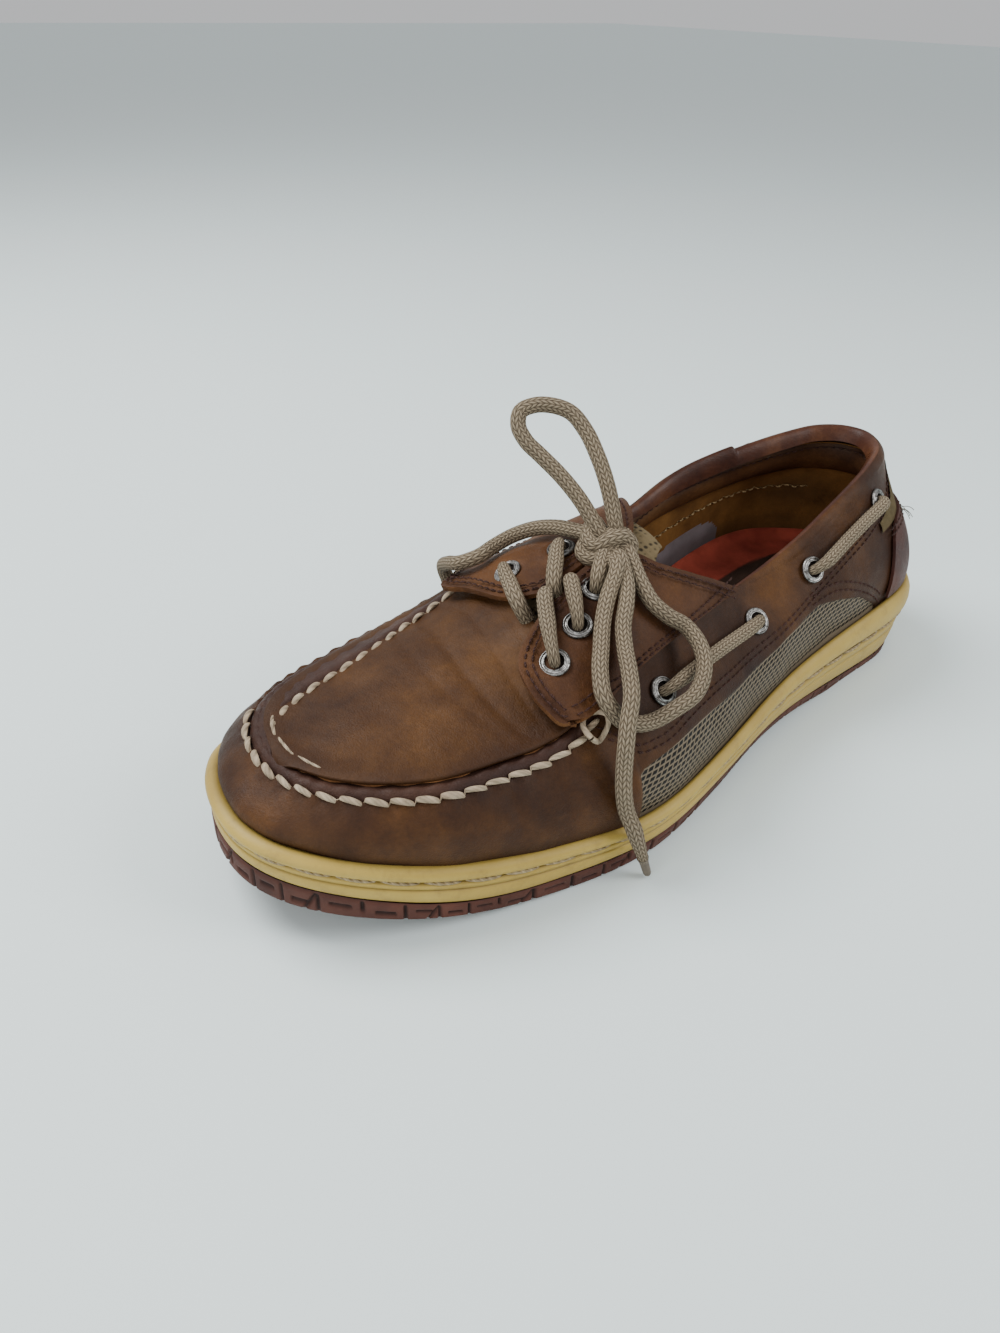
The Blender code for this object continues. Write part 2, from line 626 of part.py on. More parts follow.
# Tongue: padded, under the plug's rear edge and then close under the stays
def make_tongue():
    rows = np.linspace(TONGUE_FRONT, TONGUE_BACK, 10)
    shares = np.linspace(-1.0, 1.0, 9)
    mesh = bmesh.new()
    before = None
    for row in rows:
        hidden = LEATHER + 2 * GAP
        shown = 2 * GAP
        blend = min(1.0, max(0.0, (row - PLUG_ROWS - 0.4) / 1.2))
        depth = hidden + (shown - hidden) * blend
        line = []
        for share in shares:
            across = 0.5 + share * TONGUE_HALF
            point = plug(row, across) - normal_of(plug, row, across) * depth
            line.append(mesh.verts.new(point))
        if before:
            for j in range(len(line) - 1):
                mesh.faces.new((before[j], line[j], line[j + 1], before[j + 1]))
        before = line
    tongue = node("tongue", finish(mesh, "tongue"), (0.20, 0.15, 0.075), 0.85)
    solidify(tongue, TONGUE_THICKNESS, -1.0)


# Eyestays: pointed leather stays on both sides of the tongue
def stay_point(side, row, share):
    """A point of the saddle seen from its own side; share 0 is that side's wall edge."""
    return saddle(row, share if side > 0 else 1.0 - share)


def stay_lift(row):
    rows = [pair[0] for pair in STAY_LIFT]
    lifts = [pair[1] for pair in STAY_LIFT]
    return float(np.interp(row, rows, lifts)) + STAY_GAP


def stay_surface(side, row, share, height):
    """A point over the saddle at a height above the stay's underside."""
    point = stay_point(side, row, share)
    normal = normal_of(saddle, row, share if side > 0 else 1.0 - share)
    return point + normal * (stay_lift(row) + height)


def walked(points):
    """Shares of the way along a polyline in (row, share), with shares counted as wide as rows."""
    flat = np.array(points) * np.array([1.0, 12.0])
    steps = np.linalg.norm(np.diff(flat, axis=0), axis=1)
    return np.concatenate([[0.0], np.cumsum(steps)]) / steps.sum()


def make_stay(name, side, foot, head):
    mesh = bmesh.new()
    foot_at = walked(foot)
    head_at = walked(head)
    before = None
    for i in range(STAY_COLUMNS + 1):
        u = i / STAY_COLUMNS
        low = [float(through(foot_at, [p[k] for p in foot], u)) for k in (0, 1)]
        high = [float(through(head_at, [p[k] for p in head], u)) for k in (0, 1)]
        ends = i in (0, STAY_COLUMNS)
        line = []
        for j in range(1 if ends else STAY_ROWS + 1):
            v = j / STAY_ROWS
            row = low[0] * (1 - v) + high[0] * v
            share = low[1] * (1 - v) + high[1] * v
            line.append(mesh.verts.new(stay_surface(side, row, share, 0.0)))
        if before:
            for j in range(STAY_ROWS):
                corners = []
                for vertex in (before[min(j, len(before) - 1)], line[min(j, len(line) - 1)],
                               line[min(j + 1, len(line) - 1)], before[min(j + 1, len(before) - 1)]):
                    if vertex not in corners:
                        corners.append(vertex)
                mesh.faces.new(corners)
        before = line
    stay = node(name, finish(mesh, name), (0.130, 0.055, 0.024), 0.6)
    solidify(stay, STAY_LEATHER, 1.0)
    return stay


# Collar lining: padded band inside the wall under the rolled collar
def make_collar_lining():
    mesh = bmesh.new()
    places = np.linspace(COLLAR_START - 1.0, COLLAR_END, 30)
    shares = (0.87, 0.80, 0.70, 0.60)
    before = None
    for place in places:
        line = []
        for share in shares:
            point = station(place).wall(share) - wall_normal(place, share) * (LEATHER + LINING_GAP)
            line.append(mesh.verts.new(point))
        if before:
            for j in range(len(line) - 1):
                mesh.faces.new((before[j], line[j], line[j + 1], before[j + 1]))
        before = line
    data = finish(mesh, "collar_lining")
    lining = node("collar_lining", data, (0.095, 0.035, 0.028), 0.4)
    face_from(lining, np.array([0.0, 0.09, 0.07]), outwards=True)
    solidify(lining, LINING_PAD, -1.0)


def face_from(piece, centre, outwards):
    """Turns an open sheet so that its faces look away from, or at, a centre."""
    total = 0.0
    for face in piece.data.polygons:
        total += face.normal.dot(face.center - Vector(centre))
    if (total < 0.0) == outwards:
        piece.data.flip_normals()


# Heel counter: thin leather over the back of the wall
def make_counter():
    mesh = bmesh.new()
    before = None
    for i in range(17):
        across = i / 8 - 1.0
        place = across * COUNTER_REACH
        high = COUNTER_LOW + (COUNTER_HIGH - COUNTER_LOW) * (1.0 - abs(across)**2.5)
        line = []
        for j in range(6):
            share = COUNTER_LOW + (high - COUNTER_LOW) * j / 5 if abs(across) < 1.0 else COUNTER_LOW
            line.append((place, share))
        if abs(across) == 1.0:
            line = line[:1]
        verts = [mesh.verts.new(wall_point(place, share, COUNTER_GAP)[0]) for place, share in line]
        if before:
            for j in range(5):
                corners = []
                for vertex in (before[min(j, len(before) - 1)], verts[min(j, len(verts) - 1)],
                               verts[min(j + 1, len(verts) - 1)], before[min(j + 1, len(before) - 1)]):
                    if vertex not in corners:
                        corners.append(vertex)
                mesh.faces.new(corners)
        before = verts
    counter = node("heel_counter", finish(mesh, "heel_counter"), (0.085, 0.035, 0.024), 0.6)
    face_from(counter, np.array([0.0, 0.09, 0.05]), outwards=True)
    solidify(counter, COUNTER_LEATHER, 1.0)


# Eyelets: a domed flange and a barrel through the leather
def make_eyelet(name, centre, axis, depth):
    profile = (
        (EYELET_BORE, -depth), (EYELET_BORE, FLANGE_GAP), (EYELET_BARREL, EYELET_DOME),
        (EYELET_FLANGE, FLANGE_GAP), (EYELET_BARREL, FLANGE_GAP), (EYELET_BARREL, -depth),
    )
    mesh = bmesh.new()
    turn = Vector((0.0, 0.0, 1.0)).rotation_difference(Vector(axis)).to_matrix()
    loops = []
    for radius, height in profile:
        ring_points = []
        for i in range(EYELET_SEGMENTS):
            angle = 2.0 * math.pi * i / EYELET_SEGMENTS
            local = Vector((radius * math.cos(angle), radius * math.sin(angle), height))
            ring_points.append(Vector(centre) + turn @ local)
        loops.append(loop_of(mesh, ring_points))
    close_loops(mesh, loops + loops[:1])
    node(name, finish(mesh, name), (0.62, 0.61, 0.58), 0.35, 1.0)


def cut_hole(piece, name, centre, axis):
    """A round hole for an eyelet, cut by a hidden cylinder."""
    mesh = bmesh.new()
    turn = Vector((0.0, 0.0, 1.0)).rotation_difference(Vector(axis)).to_matrix().to_4x4()
    bmesh.ops.create_cone(mesh, cap_ends=True, segments=EYELET_SEGMENTS, radius1=HOLE_RADIUS,
                          radius2=HOLE_RADIUS, depth=HOLE_DEPTH, matrix=Matrix.Translation(Vector(centre)) @ turn)
    cutter = node(name + "_hole", finish(mesh, name + "_hole"), (0.5, 0.5, 0.5), 0.5)
    cutter.hide_render = True
    cutter.display_type = "WIRE"
    cut = piece.modifiers.new(name, "BOOLEAN")
    cut.operation = "DIFFERENCE"
    cut.object = cutter


def wall_point(place, share, height):
    """A point over the wall, with the wall's outward direction there."""
    normal = wall_normal(place, share)
    return station(place).wall(share) + normal * height, normal


def over(row, share, height):
    """A point at a height over the upper: on the vault, or on a wall past either edge."""
    if share < 0.0:
        return wall_point(row_size("outer", row), 1.0 + share, height)[0]
    if share > 1.0:
        return wall_point(row_size("inner", row), 2.0 - share, height)[0]
    return saddle(row, share) + normal_of(saddle, row, share) * height


def smooth_path(points, count):
    """Evenly spaced points on a smooth curve through given points."""
    points = np.array(points)
    steps = np.linalg.norm(np.diff(points, axis=0), axis=1)
    knots = np.concatenate([[0.0], np.cumsum(steps)])
    fine = np.linspace(0.0, knots[-1], 400)
    dense = np.stack([through(knots, points[:, k], fine) for k in range(3)], axis=1)
    steps = np.linalg.norm(np.diff(dense, axis=0), axis=1)
    walked_to = np.concatenate([[0.0], np.cumsum(steps)])
    at = np.linspace(0.0, walked_to[-1], count)
    return np.stack([np.interp(at, walked_to, dense[:, k]) for k in range(3)], axis=1)


def cord(name, points, count):
    """A round braided cord along a smooth path."""
    curve = bpy.data.curves.new(name, "CURVE")
    curve.dimensions = "3D"
    curve.bevel_depth = LACE_RADIUS
    curve.bevel_resolution = 2
    curve.render_resolution_u = 0
    curve.use_fill_caps = True
    spline = curve.splines.new("POLY")
    path = smooth_path(points, count)
    spline.points.add(len(path) - 1)
    for point, place in zip(spline.points, path):
        point.co = (*place, 1.0)
    material = bpy.data.materials.new(name)
    material.use_nodes = True
    material.node_tree.nodes["Principled BSDF"].inputs["Base Color"].default_value = (0.30, 0.23, 0.16, 1.0)
    curve.materials.append(material)
    piece = bpy.data.objects.new(name, curve)
    bpy.context.scene.collection.objects.link(piece)


def tube(points, count):
    """A closed round tube along a smooth path, as a bmesh."""
    path = smooth_path(points, count)
    mesh = bmesh.new()
    side = None
    loops = []
    for i, place in enumerate(path):
        ahead = path[min(i + 1, count - 1)] - path[max(i - 1, 0)]
        ahead = Vector(ahead).normalized()
        if side is None:
            side = ahead.orthogonal().normalized()
        side = (side - ahead * side.dot(ahead)).normalized()
        other = ahead.cross(side)
        around = []
        for j in range(LACE_SIDES):
            angle = 2.0 * math.pi * j / LACE_SIDES
            around.append(Vector(place) + (side * math.cos(angle) + other * math.sin(angle)) * LACE_RADIUS)
        loops.append(loop_of(mesh, around))
    close_loops(mesh, loops)
    mesh.faces.new(loops[0][::-1])
    mesh.faces.new(loops[-1])
    return mesh


def strand(side, eyelet, meet, steps):
    """Points of a lace strand from an eyelet on a stay over its edge to the middle."""
    row, share = eyelet
    goal = meet[1] if side > 0 else 1.0 - meet[1]
    points = []
    for part, height in steps:
        at_row = row + (meet[0] - row) * part
        at_share = share + (goal - share) * part
        points.append(stay_surface(side, at_row, at_share, STAY_LEATHER + height))
    return points


def make_crossing(name, outer_eyelet, inner_eyelet, meet):
    """Two strands that meet between the stays, joined in one solid."""
    first = tube(strand(1, outer_eyelet, meet, STRAND_STEPS), 10)
    second = tube(strand(-1, inner_eyelet, meet, STRAND_STEPS), 10)
    crossing = node(name, finish(first, name), (0.30, 0.23, 0.16), 0.9)
    other = node(name + "_second", finish(second, name + "_second"), (0.30, 0.23, 0.16), 0.9)
    other.hide_render = True
    other.display_type = "WIRE"
    joined = crossing.modifiers.new("joined", "BOOLEAN")
    joined.operation = "UNION"
    joined.object = other


def make_bar(name, side, first, last):
    """A side bar of the lace, out of one wall eyelet, along the wall and into the next."""
    column_name = "outer" if side > 0 else "inner"
    points = []
    for part, height in ((0.0, -0.0008), (0.0, 0.0022), (0.07, 0.0046), (0.18, 0.0045), (0.34, 0.0036),
                         (0.50, 0.0034), (0.66, 0.0036), (0.82, 0.0045), (0.93, 0.0046), (1.0, 0.0022), (1.0, -0.0008)):
        row = first[0] + (last[0] - first[0]) * part
        share = first[1] + (last[1] - first[1]) * part
        points.append(wall_point(row_size(column_name, row), share, height)[0])
    bar = tube(points, 14)
    node(name, finish(bar, name), (0.30, 0.23, 0.16), 0.9)


def make_bow():
    """The knot on top and the loops and ends that leave it."""
    centre = over(*KNOT_AT, KNOT_HEIGHT)
    ring_points = []
    for i in range(9):
        angle = math.radians(20 + 40 * i)
        ring_points.append(centre + np.array([math.cos(angle) * KNOT_REACH, math.sin(angle) * KNOT_REACH,
                                              0.0004 * i - 0.0006]))
    cord("lace_knot", ring_points[:8], 14)
    cord("lace_loop_up", [centre + np.array(step) for step in LOOP_UP], 16)
    cord("lace_loop_down", [over(*point) for point in LOOP_DOWN], 22)
    cord("lace_end_outer", [over(*point) for point in END_OUTER] + [np.array(point) for point in END_DROP], 17)
    cord("lace_end_inner", [over(*point) for point in END_INNER], 12)


make_outsole()
make_midsole()
make_insole()
upper = make_upper()
make_tongue()
stays = {
    1: make_stay("eyestay_outer", 1, OUTER_STAY_FOOT, OUTER_STAY_HEAD),
    -1: make_stay("eyestay_inner", -1, INNER_STAY_FOOT, INNER_STAY_HEAD),
}
make_collar_lining()
make_counter()
for side, side_name, places in ((1, "outer", OUTER_STAY_EYELETS), (-1, "inner", INNER_STAY_EYELETS)):
    for i, (row, share) in enumerate(places):
        centre = stay_surface(side, row, share, STAY_LEATHER)
        axis = normal_of(saddle, row, share if side > 0 else 1.0 - share)
        name = "eyelet_stay_" + side_name + "_" + str(i + 1)
        cut_hole(stays[side], name, centre, axis)
        make_eyelet(name, centre, axis, STAY_LEATHER)
for side_name, places in (("outer", OUTER_WALL_EYELETS), ("inner", INNER_WALL_EYELETS)):
    for i, (row, share) in enumerate(places):
        centre, axis = wall_point(row_size(side_name, row), share, 0.0)
        name = "eyelet_wall_" + side_name + "_" + str(i + 1)
        cut_hole(upper, name, centre, axis)
        make_eyelet(name, centre, axis, LEATHER)
make_crossing("lace_cross_front", OUTER_STAY_EYELETS[0], INNER_STAY_EYELETS[0], FRONT_MEET)
make_crossing("lace_cross_rear", OUTER_STAY_EYELETS[1], INNER_STAY_EYELETS[1], REAR_MEET)
for side, side_name, places in ((1, "outer", OUTER_STAY_EYELETS), (-1, "inner", INNER_STAY_EYELETS)):
    name = "lace_strand_" + side_name
    node(name, finish(tube(strand(side, places[2], KNOT_AT, SHORT_STEPS), 7), name), (0.30, 0.23, 0.16), 0.9)
make_bar("lace_bar_outer_front", 1, OUTER_WALL_EYELETS[0], OUTER_WALL_EYELETS[1])
make_bar("lace_bar_outer_rear", 1, OUTER_WALL_EYELETS[2], OUTER_WALL_EYELETS[3])
make_bar("lace_bar_inner_front", -1, INNER_WALL_EYELETS[0], INNER_WALL_EYELETS[1])
make_bar("lace_bar_inner_rear", -1, INNER_WALL_EYELETS[2], INNER_WALL_EYELETS[3])
make_bow()
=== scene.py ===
import math

import bmesh
import bpy
import numpy as np
from mathutils import Matrix, Vector


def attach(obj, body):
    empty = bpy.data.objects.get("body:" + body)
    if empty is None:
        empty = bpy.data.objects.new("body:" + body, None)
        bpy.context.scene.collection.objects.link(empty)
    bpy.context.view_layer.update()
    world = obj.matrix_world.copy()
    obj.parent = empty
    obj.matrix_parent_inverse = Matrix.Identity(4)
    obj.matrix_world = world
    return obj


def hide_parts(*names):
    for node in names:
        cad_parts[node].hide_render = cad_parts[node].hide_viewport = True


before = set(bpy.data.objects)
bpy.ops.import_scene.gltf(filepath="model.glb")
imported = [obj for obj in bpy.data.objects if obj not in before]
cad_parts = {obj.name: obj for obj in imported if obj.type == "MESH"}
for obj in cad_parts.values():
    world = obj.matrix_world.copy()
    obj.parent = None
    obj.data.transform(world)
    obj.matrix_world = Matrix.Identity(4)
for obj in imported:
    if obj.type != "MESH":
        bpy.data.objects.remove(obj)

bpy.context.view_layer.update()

# Camera
# The camera that took the photo, a wide phone lens close to the shoe, a little rolled.
FOCAL_LENGTH = 27.2
CAMERA_PLACE = (0.2003, -0.2262, 0.2267)
AZIMUTH = math.radians(49.44)
ELEVATION = math.radians(34.17)
ROLL = math.radians(1.66)


def new_object(name, data):
    made = bpy.data.objects.new(name, data)
    bpy.context.scene.collection.objects.link(made)
    return made


camera_data = bpy.data.cameras.new("camera")
camera_data.sensor_fit = "VERTICAL"
camera_data.sensor_height = 36.0
camera_data.lens = FOCAL_LENGTH
camera_data.clip_start = 0.01
camera = new_object("camera", camera_data)
back = Vector((math.sin(AZIMUTH) * math.cos(ELEVATION), -math.cos(AZIMUTH) * math.cos(ELEVATION),
               math.sin(ELEVATION)))
right = (-back).cross(Vector((0.0, 0.0, 1.0))).normalized()
up = right.cross(-back)
rolled_right = right * math.cos(ROLL) + up * math.sin(ROLL)
rolled_up = up * math.cos(ROLL) - right * math.sin(ROLL)
camera_turn = Matrix((rolled_right, rolled_up, back)).transposed().to_4x4()
camera.matrix_world = Matrix.Translation(CAMERA_PLACE) @ camera_turn
bpy.context.scene.camera = camera

# Form of the last
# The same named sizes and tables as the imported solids, read here at a finer step by every
# soft piece below: sole outline, side wall, turned edge and the vault over the instep.
LENGTH = 0.3
BALL_WIDTH = 0.115
COLLAR_HEIGHT = 0.08
INSTEP_RISE = 0.0195
HEEL_STACK = 0.0345
TOE_SPRING = 0.0149
ARCH_RISE = 0.004
GAP = 0.0003
SEAM_FOLD = 0.0052
SEAM_RISE = 0.0024
COLLAR_FOLD = 0.0066
COLLAR_RISE = 0.0026
COLLAR_TAIL = 0.003
PLAIN_FOLD = 0.0016
# how far apart the points lie from which a normal is read: rows or shares round, shares across
VAULT_STEP = (0.2, 0.02)
WALL_STEP = (0.006, 0.03)
LAST_ROW = 32.0
UP = np.array([0.0, 0.0, 1.0])
OUTLINE = (
    (-0.11, 0.0), (0.5, 0.042), (0.73, 0.131), (0.76, 0.273), (0.84, 0.418), (1.0, 0.599), (0.915, 0.735),
    (0.71, 0.868), (0.32, 0.976), (-0.17, 1.0), (-0.69, 0.952), (-0.92, 0.848), (-1.0, 0.725),
    (-0.885, 0.555), (-0.71, 0.399), (-0.77, 0.251), (-0.77, 0.123), (-0.53, 0.045),
)
# along the length: rim, parting line and seat as shares of the heel stack, lip of half the width
SOLE_COLUMNS = ("along", "rim", "parting", "seat", "lip")
SOLE = (
    (0.0, 1.0, 0.116, 0.7, 0.09), (0.15, 0.957, 0.1, 0.665, 0.062), (0.32, 0.8, 0.225, 0.52, 0.052),
    (0.48, 0.605, 0.215, 0.35, 0.04), (0.65, 0.49, 0.18, 0.25, 0.042), (0.82, 0.63, 0.24, 0.345, 0.048),
    (1.0, 0.985, 0.68, 0.69, 0.085),
)
# share of the way round, upper edge as shares of half width, length and collar height, lean of
# the wall at its edge, belly, and 1 on the raised seam, -1 on the rolled collar
WALL_COLUMNS = ("round", "side", "along", "height", "lean", "belly", "seam")
WALL = (
    (0.0, -0.05, 0.043, 1.0, 80, 0.035, -1.0), (0.03, 0.12, 0.057, 0.999, 80, 0.035, -1.0),
    (0.06, 0.26, 0.087, 0.994, 76, 0.035, -1.0), (0.09, 0.35, 0.13, 0.975, 70, 0.03, -1.0),
    (0.12, 0.41, 0.18, 0.944, 66, 0.028, -1.0), (0.15, 0.45, 0.237, 0.888, 62, 0.025, -1.0),
    (0.18, 0.465, 0.3, 0.8, 58, 0.025, -1.0), (0.205, 0.455, 0.353, 0.745, 54, 0.025, -0.8),
    (0.225, 0.43, 0.397, 0.719, 52, 0.025, -0.3), (0.245, 0.455, 0.447, 0.722, 50, 0.03, 0.0),
    (0.27, 0.495, 0.517, 0.725, 50, 0.035, 0.0), (0.295, 0.54, 0.583, 0.712, 50, 0.04, 0.0),
    (0.32, 0.61, 0.64, 0.665, 50, 0.045, 0.1), (0.338, 0.705, 0.688, 0.59, 48, 0.045, 0.8),
    (0.36, 0.715, 0.73, 0.55, 44, 0.045, 1.0), (0.385, 0.675, 0.782, 0.542, 42, 0.045, 1.0),
    (0.41, 0.605, 0.84, 0.54, 40, 0.045, 1.0), (0.435, 0.47, 0.886, 0.54, 40, 0.045, 1.0),
    (0.46, 0.28, 0.924, 0.541, 40, 0.045, 1.0), (0.485, 0.08, 0.944, 0.543, 40, 0.045, 1.0),
    (0.51, -0.15, 0.949, 0.543, 40, 0.045, 1.0), (0.535, -0.37, 0.939, 0.542, 40, 0.045, 1.0),
    (0.562, -0.56, 0.913, 0.54, 42, 0.045, 1.0), (0.59, -0.69, 0.874, 0.534, 46, 0.04, 1.0),
    (0.617, -0.765, 0.826, 0.53, 50, 0.035, 1.0), (0.645, -0.825, 0.76, 0.534, 54, 0.035, 1.0),
    (0.67, -0.865, 0.697, 0.545, 56, 0.035, 1.0), (0.692, -0.835, 0.64, 0.595, 56, 0.035, 0.8),
    (0.715, -0.775, 0.59, 0.665, 56, 0.03, 0.1), (0.74, -0.725, 0.535, 0.715, 56, 0.025, 0.0),
    (0.765, -0.67, 0.47, 0.742, 58, 0.02, 0.0), (0.79, -0.635, 0.412, 0.755, 62, 0.015, -0.1),
    (0.81, -0.66, 0.367, 0.772, 68, 0.012, -0.7), (0.835, -0.695, 0.307, 0.82, 74, 0.012, -1.0),
    (0.865, -0.64, 0.24, 0.878, 74, 0.015, -1.0), (0.895, -0.535, 0.177, 0.935, 72, 0.025, -1.0),
    (0.925, -0.44, 0.12, 0.972, 74, 0.03, -1.0), (0.95, -0.35, 0.08, 0.992, 76, 0.035, -1.0),
    (0.975, -0.215, 0.053, 1.0, 80, 0.035, -1.0),
)
# rows that cross the shoe: outer and inner place on the way round, crest of the vault
ROW_COLUMNS = ("row", "outer", "inner", "crest")
ROWS = (
    (0.0, 0.5, 0.5, 0.0), (3.0, 0.461, 0.548, 0.06), (6.0, 0.419, 0.6, 0.2), (8.0, 0.39, 0.634, 0.34),
    (10.0, 0.36, 0.667, 0.5), (11.5, 0.338, 0.692, 0.65), (13.0, 0.317, 0.712, 0.78),
    (14.5, 0.297, 0.731, 0.84), (16.0, 0.276, 0.75, 0.88), (18.0, 0.251, 0.775, 0.95),
    (20.0, 0.225, 0.8, 1.0), (26.0, 0.118, 0.896, 1.0), (32.0, 0.0, 1.0, 1.0),
)


def through(knots, values, at, period=None):
    """Smooth curve through values at knots; with a period it closes on itself."""
    knots = np.array(knots, float)
    values = np.array(values, float)
    at = np.array(at, float)
    if period:
        at = np.mod(at, period)
        knots = np.concatenate([knots[-2:] - period, knots, knots[:3] + period])
        values = np.concatenate([values[-2:], values, values[:3]])
    step = np.diff(knots)
    rise = np.diff(values) / step
    slope = np.empty(len(knots))
    slope[1:-1] = (rise[:-1] * step[1:] + rise[1:] * step[:-1]) / (step[1:] + step[:-1])
    slope[0] = rise[0]
    slope[-1] = rise[-1]
    i = np.clip(np.searchsorted(knots, at, side="right") - 1, 0, len(step) - 1)
    u = np.clip((at - knots[i]) / step[i], 0.0, 1.0)
    return ((2 * u**3 - 3 * u**2 + 1) * values[i] + (u**3 - 2 * u**2 + u) * step[i] * slope[i]
            + (3 * u**2 - 2 * u**3) * values[i + 1] + (u**3 - u**2) * step[i] * slope[i + 1])


def walked_along(line):
    """Length walked to each point of a line."""
    return np.concatenate([[0.0], np.cumsum(np.linalg.norm(np.diff(line, axis=0), axis=1))])


def read_along(line, walked, at):
    """Points of a line, or other vectors kept along it, at walked lengths."""
    return np.stack([np.interp(at, walked, column) for column in line.T], axis=1)


def sole_edge(count):
    """Evenly spaced points of the sole's outline, scaled to the real length and width."""
    points = np.array(OUTLINE)
    total = len(points)
    system = np.zeros((total, total))
    target = np.zeros((total, 2))
    for i in range(total):
        following = (i + 1) % total
        system[i, i] = 4.0
        system[i, i - 1] += 1.0
        system[i, following] += 1.0
        target[i] = 3.0 * (points[following] - points[i - 1])
    tangent = np.linalg.solve(system, target)
    fine = []
    for i in range(total):
        following = (i + 1) % total
        for u in np.arange(60) / 60:
            fine.append((2 * u**3 - 3 * u**2 + 1) * points[i] + (u**3 - 2 * u**2 + u) * tangent[i]
                        + (3 * u**2 - 2 * u**3) * points[following] + (u**3 - u**2) * tangent[following])
    fine = np.array(fine)
    share = (fine - fine.min(axis=0)) / (fine.max(axis=0) - fine.min(axis=0))
    flat = np.stack([(share[:, 0] - 0.5) * BALL_WIDTH, (0.5 - share[:, 1]) * LENGTH], axis=1)
    loop = np.vstack([flat, flat[:1]])
    walked = walked_along(loop)
    return read_along(loop, walked, np.arange(count) / count * walked[-1]), walked[-1]


EDGE_COUNT = 960
EDGE, GIRTH = sole_edge(EDGE_COUNT)
EDGE_OUT = np.roll(EDGE, -4, axis=0) - np.roll(EDGE, 4, axis=0)
EDGE_OUT = np.stack([-EDGE_OUT[:, 1], EDGE_OUT[:, 0]], axis=1)
EDGE_OUT /= np.linalg.norm(EDGE_OUT, axis=1)[:, None]


def on_edge(values, place):
    """Reads a closed array of edge values at shares of the way round, as flat 3-D vectors."""
    at = np.mod(place, 1.0) * EDGE_COUNT
    low = np.floor(at).astype(int) % EDGE_COUNT
    part = (at - np.floor(at))[..., None]
    flat = values[low] * (1.0 - part) + values[(low + 1) % EDGE_COUNT] * part
    return np.concatenate([flat, np.zeros(flat.shape[:-1] + (1,))], axis=-1)


def edge_out(place):
    out = on_edge(EDGE_OUT, place)
    return out / np.linalg.norm(out, axis=-1, keepdims=True)


def column_of(table, names, name, at, period=None):
    """Reads one named column of a table, smoothly between its rows."""
    column = names.index(name)
    return through([row[0] for row in table], [row[column] for row in table], at, period)


def length_share(place):
    """How far along the shoe a place on the sole's edge lies, from heel 0 to toe 1."""
    return 0.5 - on_edge(EDGE, place)[..., 1] / LENGTH


def sole_size(name, place):
    """A height or width of the sole's side, read at shares of the way round."""
    size = BALL_WIDTH / 2 if name == "lip" else HEEL_STACK
    return column_of(SOLE, SOLE_COLUMNS, name, length_share(place)) * size


def wall_size(name, place):
    return column_of(WALL, WALL_COLUMNS, name, place, 1.0)


def row_size(name, row):
    return column_of(ROWS, ROW_COLUMNS, name, row)


def tread_height(place):
    along = length_share(place)
    toe = np.maximum(0.0, (along - 0.7) / 0.3)
    arch_share = np.maximum(0.0, 1.0 - ((along - 0.355) / 0.13) ** 2)
    return TOE_SPRING * toe**1.8 + ARCH_RISE * arch_share**1.5


def sole_point(place, inset, height):
    """A point inside the sole's outline by an inset, at a height."""
    place, inset, height = np.broadcast_arrays(np.array(place, float), inset, height)
    return on_edge(EDGE, place) - edge_out(place) * inset[..., None] + UP * height[..., None]


def top_of(place):
    """The upper edge of the side wall."""
    return np.stack([wall_size("side", place) * BALL_WIDTH / 2, (0.5 - wall_size("along", place)) * LENGTH,
                     wall_size("height", place) * COLLAR_HEIGHT], axis=-1)


def wall(place, share):
    """Outer face of the side wall, from the cup's rim at share 0 to the upper edge at 1."""
    place, share = np.broadcast_arrays(np.array(place, float), share)
    foot = sole_point(place, sole_size("lip", place) + GAP, sole_size("rim", place))
    top = top_of(place)
    out = edge_out(place)
    span = top - foot
    lean = np.radians(wall_size("lean", place))[..., None]
    first = foot + UP * span[..., 2:] * 0.42 + out * (wall_size("belly", place) * BALL_WIDTH / 2)[..., None]
    length = np.linalg.norm(span, axis=-1, keepdims=True)
    second = top - (UP * np.sin(lean) - out * np.cos(lean)) * length * 0.38
    u = share[..., None]
    return (1 - u)**3 * foot + 3 * (1 - u)**2 * u * first + 3 * (1 - u) * u**2 * second + u**3 * top


def seam_shares(place):
    seam = np.clip(wall_size("seam", place), -1.0, 1.0)
    return np.maximum(0.0, seam), np.maximum(0.0, -seam)


def fold_end(place):
    """The inner end of the turned edge."""
    front, rear = seam_shares(place)
    width = SEAM_FOLD * front + COLLAR_FOLD * rear + PLAIN_FOLD * (1 - front - rear)
    return top_of(place) - edge_out(place) * width[..., None] - UP * (COLLAR_TAIL * rear)[..., None]


def vault(first, last, crest, share):
    share = np.array(share, float)[..., None]
    height = np.array(crest)[..., None] * (1.0 - np.abs(2.0 * share - 1.0)**2.2)
    return first * (1.0 - share) + last * share + UP * height


def saddle(row, share):
    """Upper side of the last: 0 is the outer wall edge, 1 the inner, beyond runs down a wall."""
    row, share = np.broadcast_arrays(np.array(row, float), np.array(share, float))
    outer = row_size("outer", row)
    inner = row_size("inner", row)
    crest = row_size("crest", row) * INSTEP_RISE
    high = vault(top_of(outer), top_of(inner), crest, np.clip(share, 0.0, 1.0))
    left = wall(outer, 1.0 + np.minimum(share, 0.0))
    far = wall(inner, 2.0 - np.maximum(share, 1.0))
    return np.where((share < 0.0)[..., None], left, np.where((share > 1.0)[..., None], far, high))


def plug(row, share):
    """The same vault between the inner ends of the turned edges."""
    row, share = np.broadcast_arrays(np.array(row, float), np.array(share, float))
    return vault(fold_end(row_size("outer", row)), fold_end(row_size("inner", row)),
                 row_size("crest", row) * INSTEP_RISE, share)


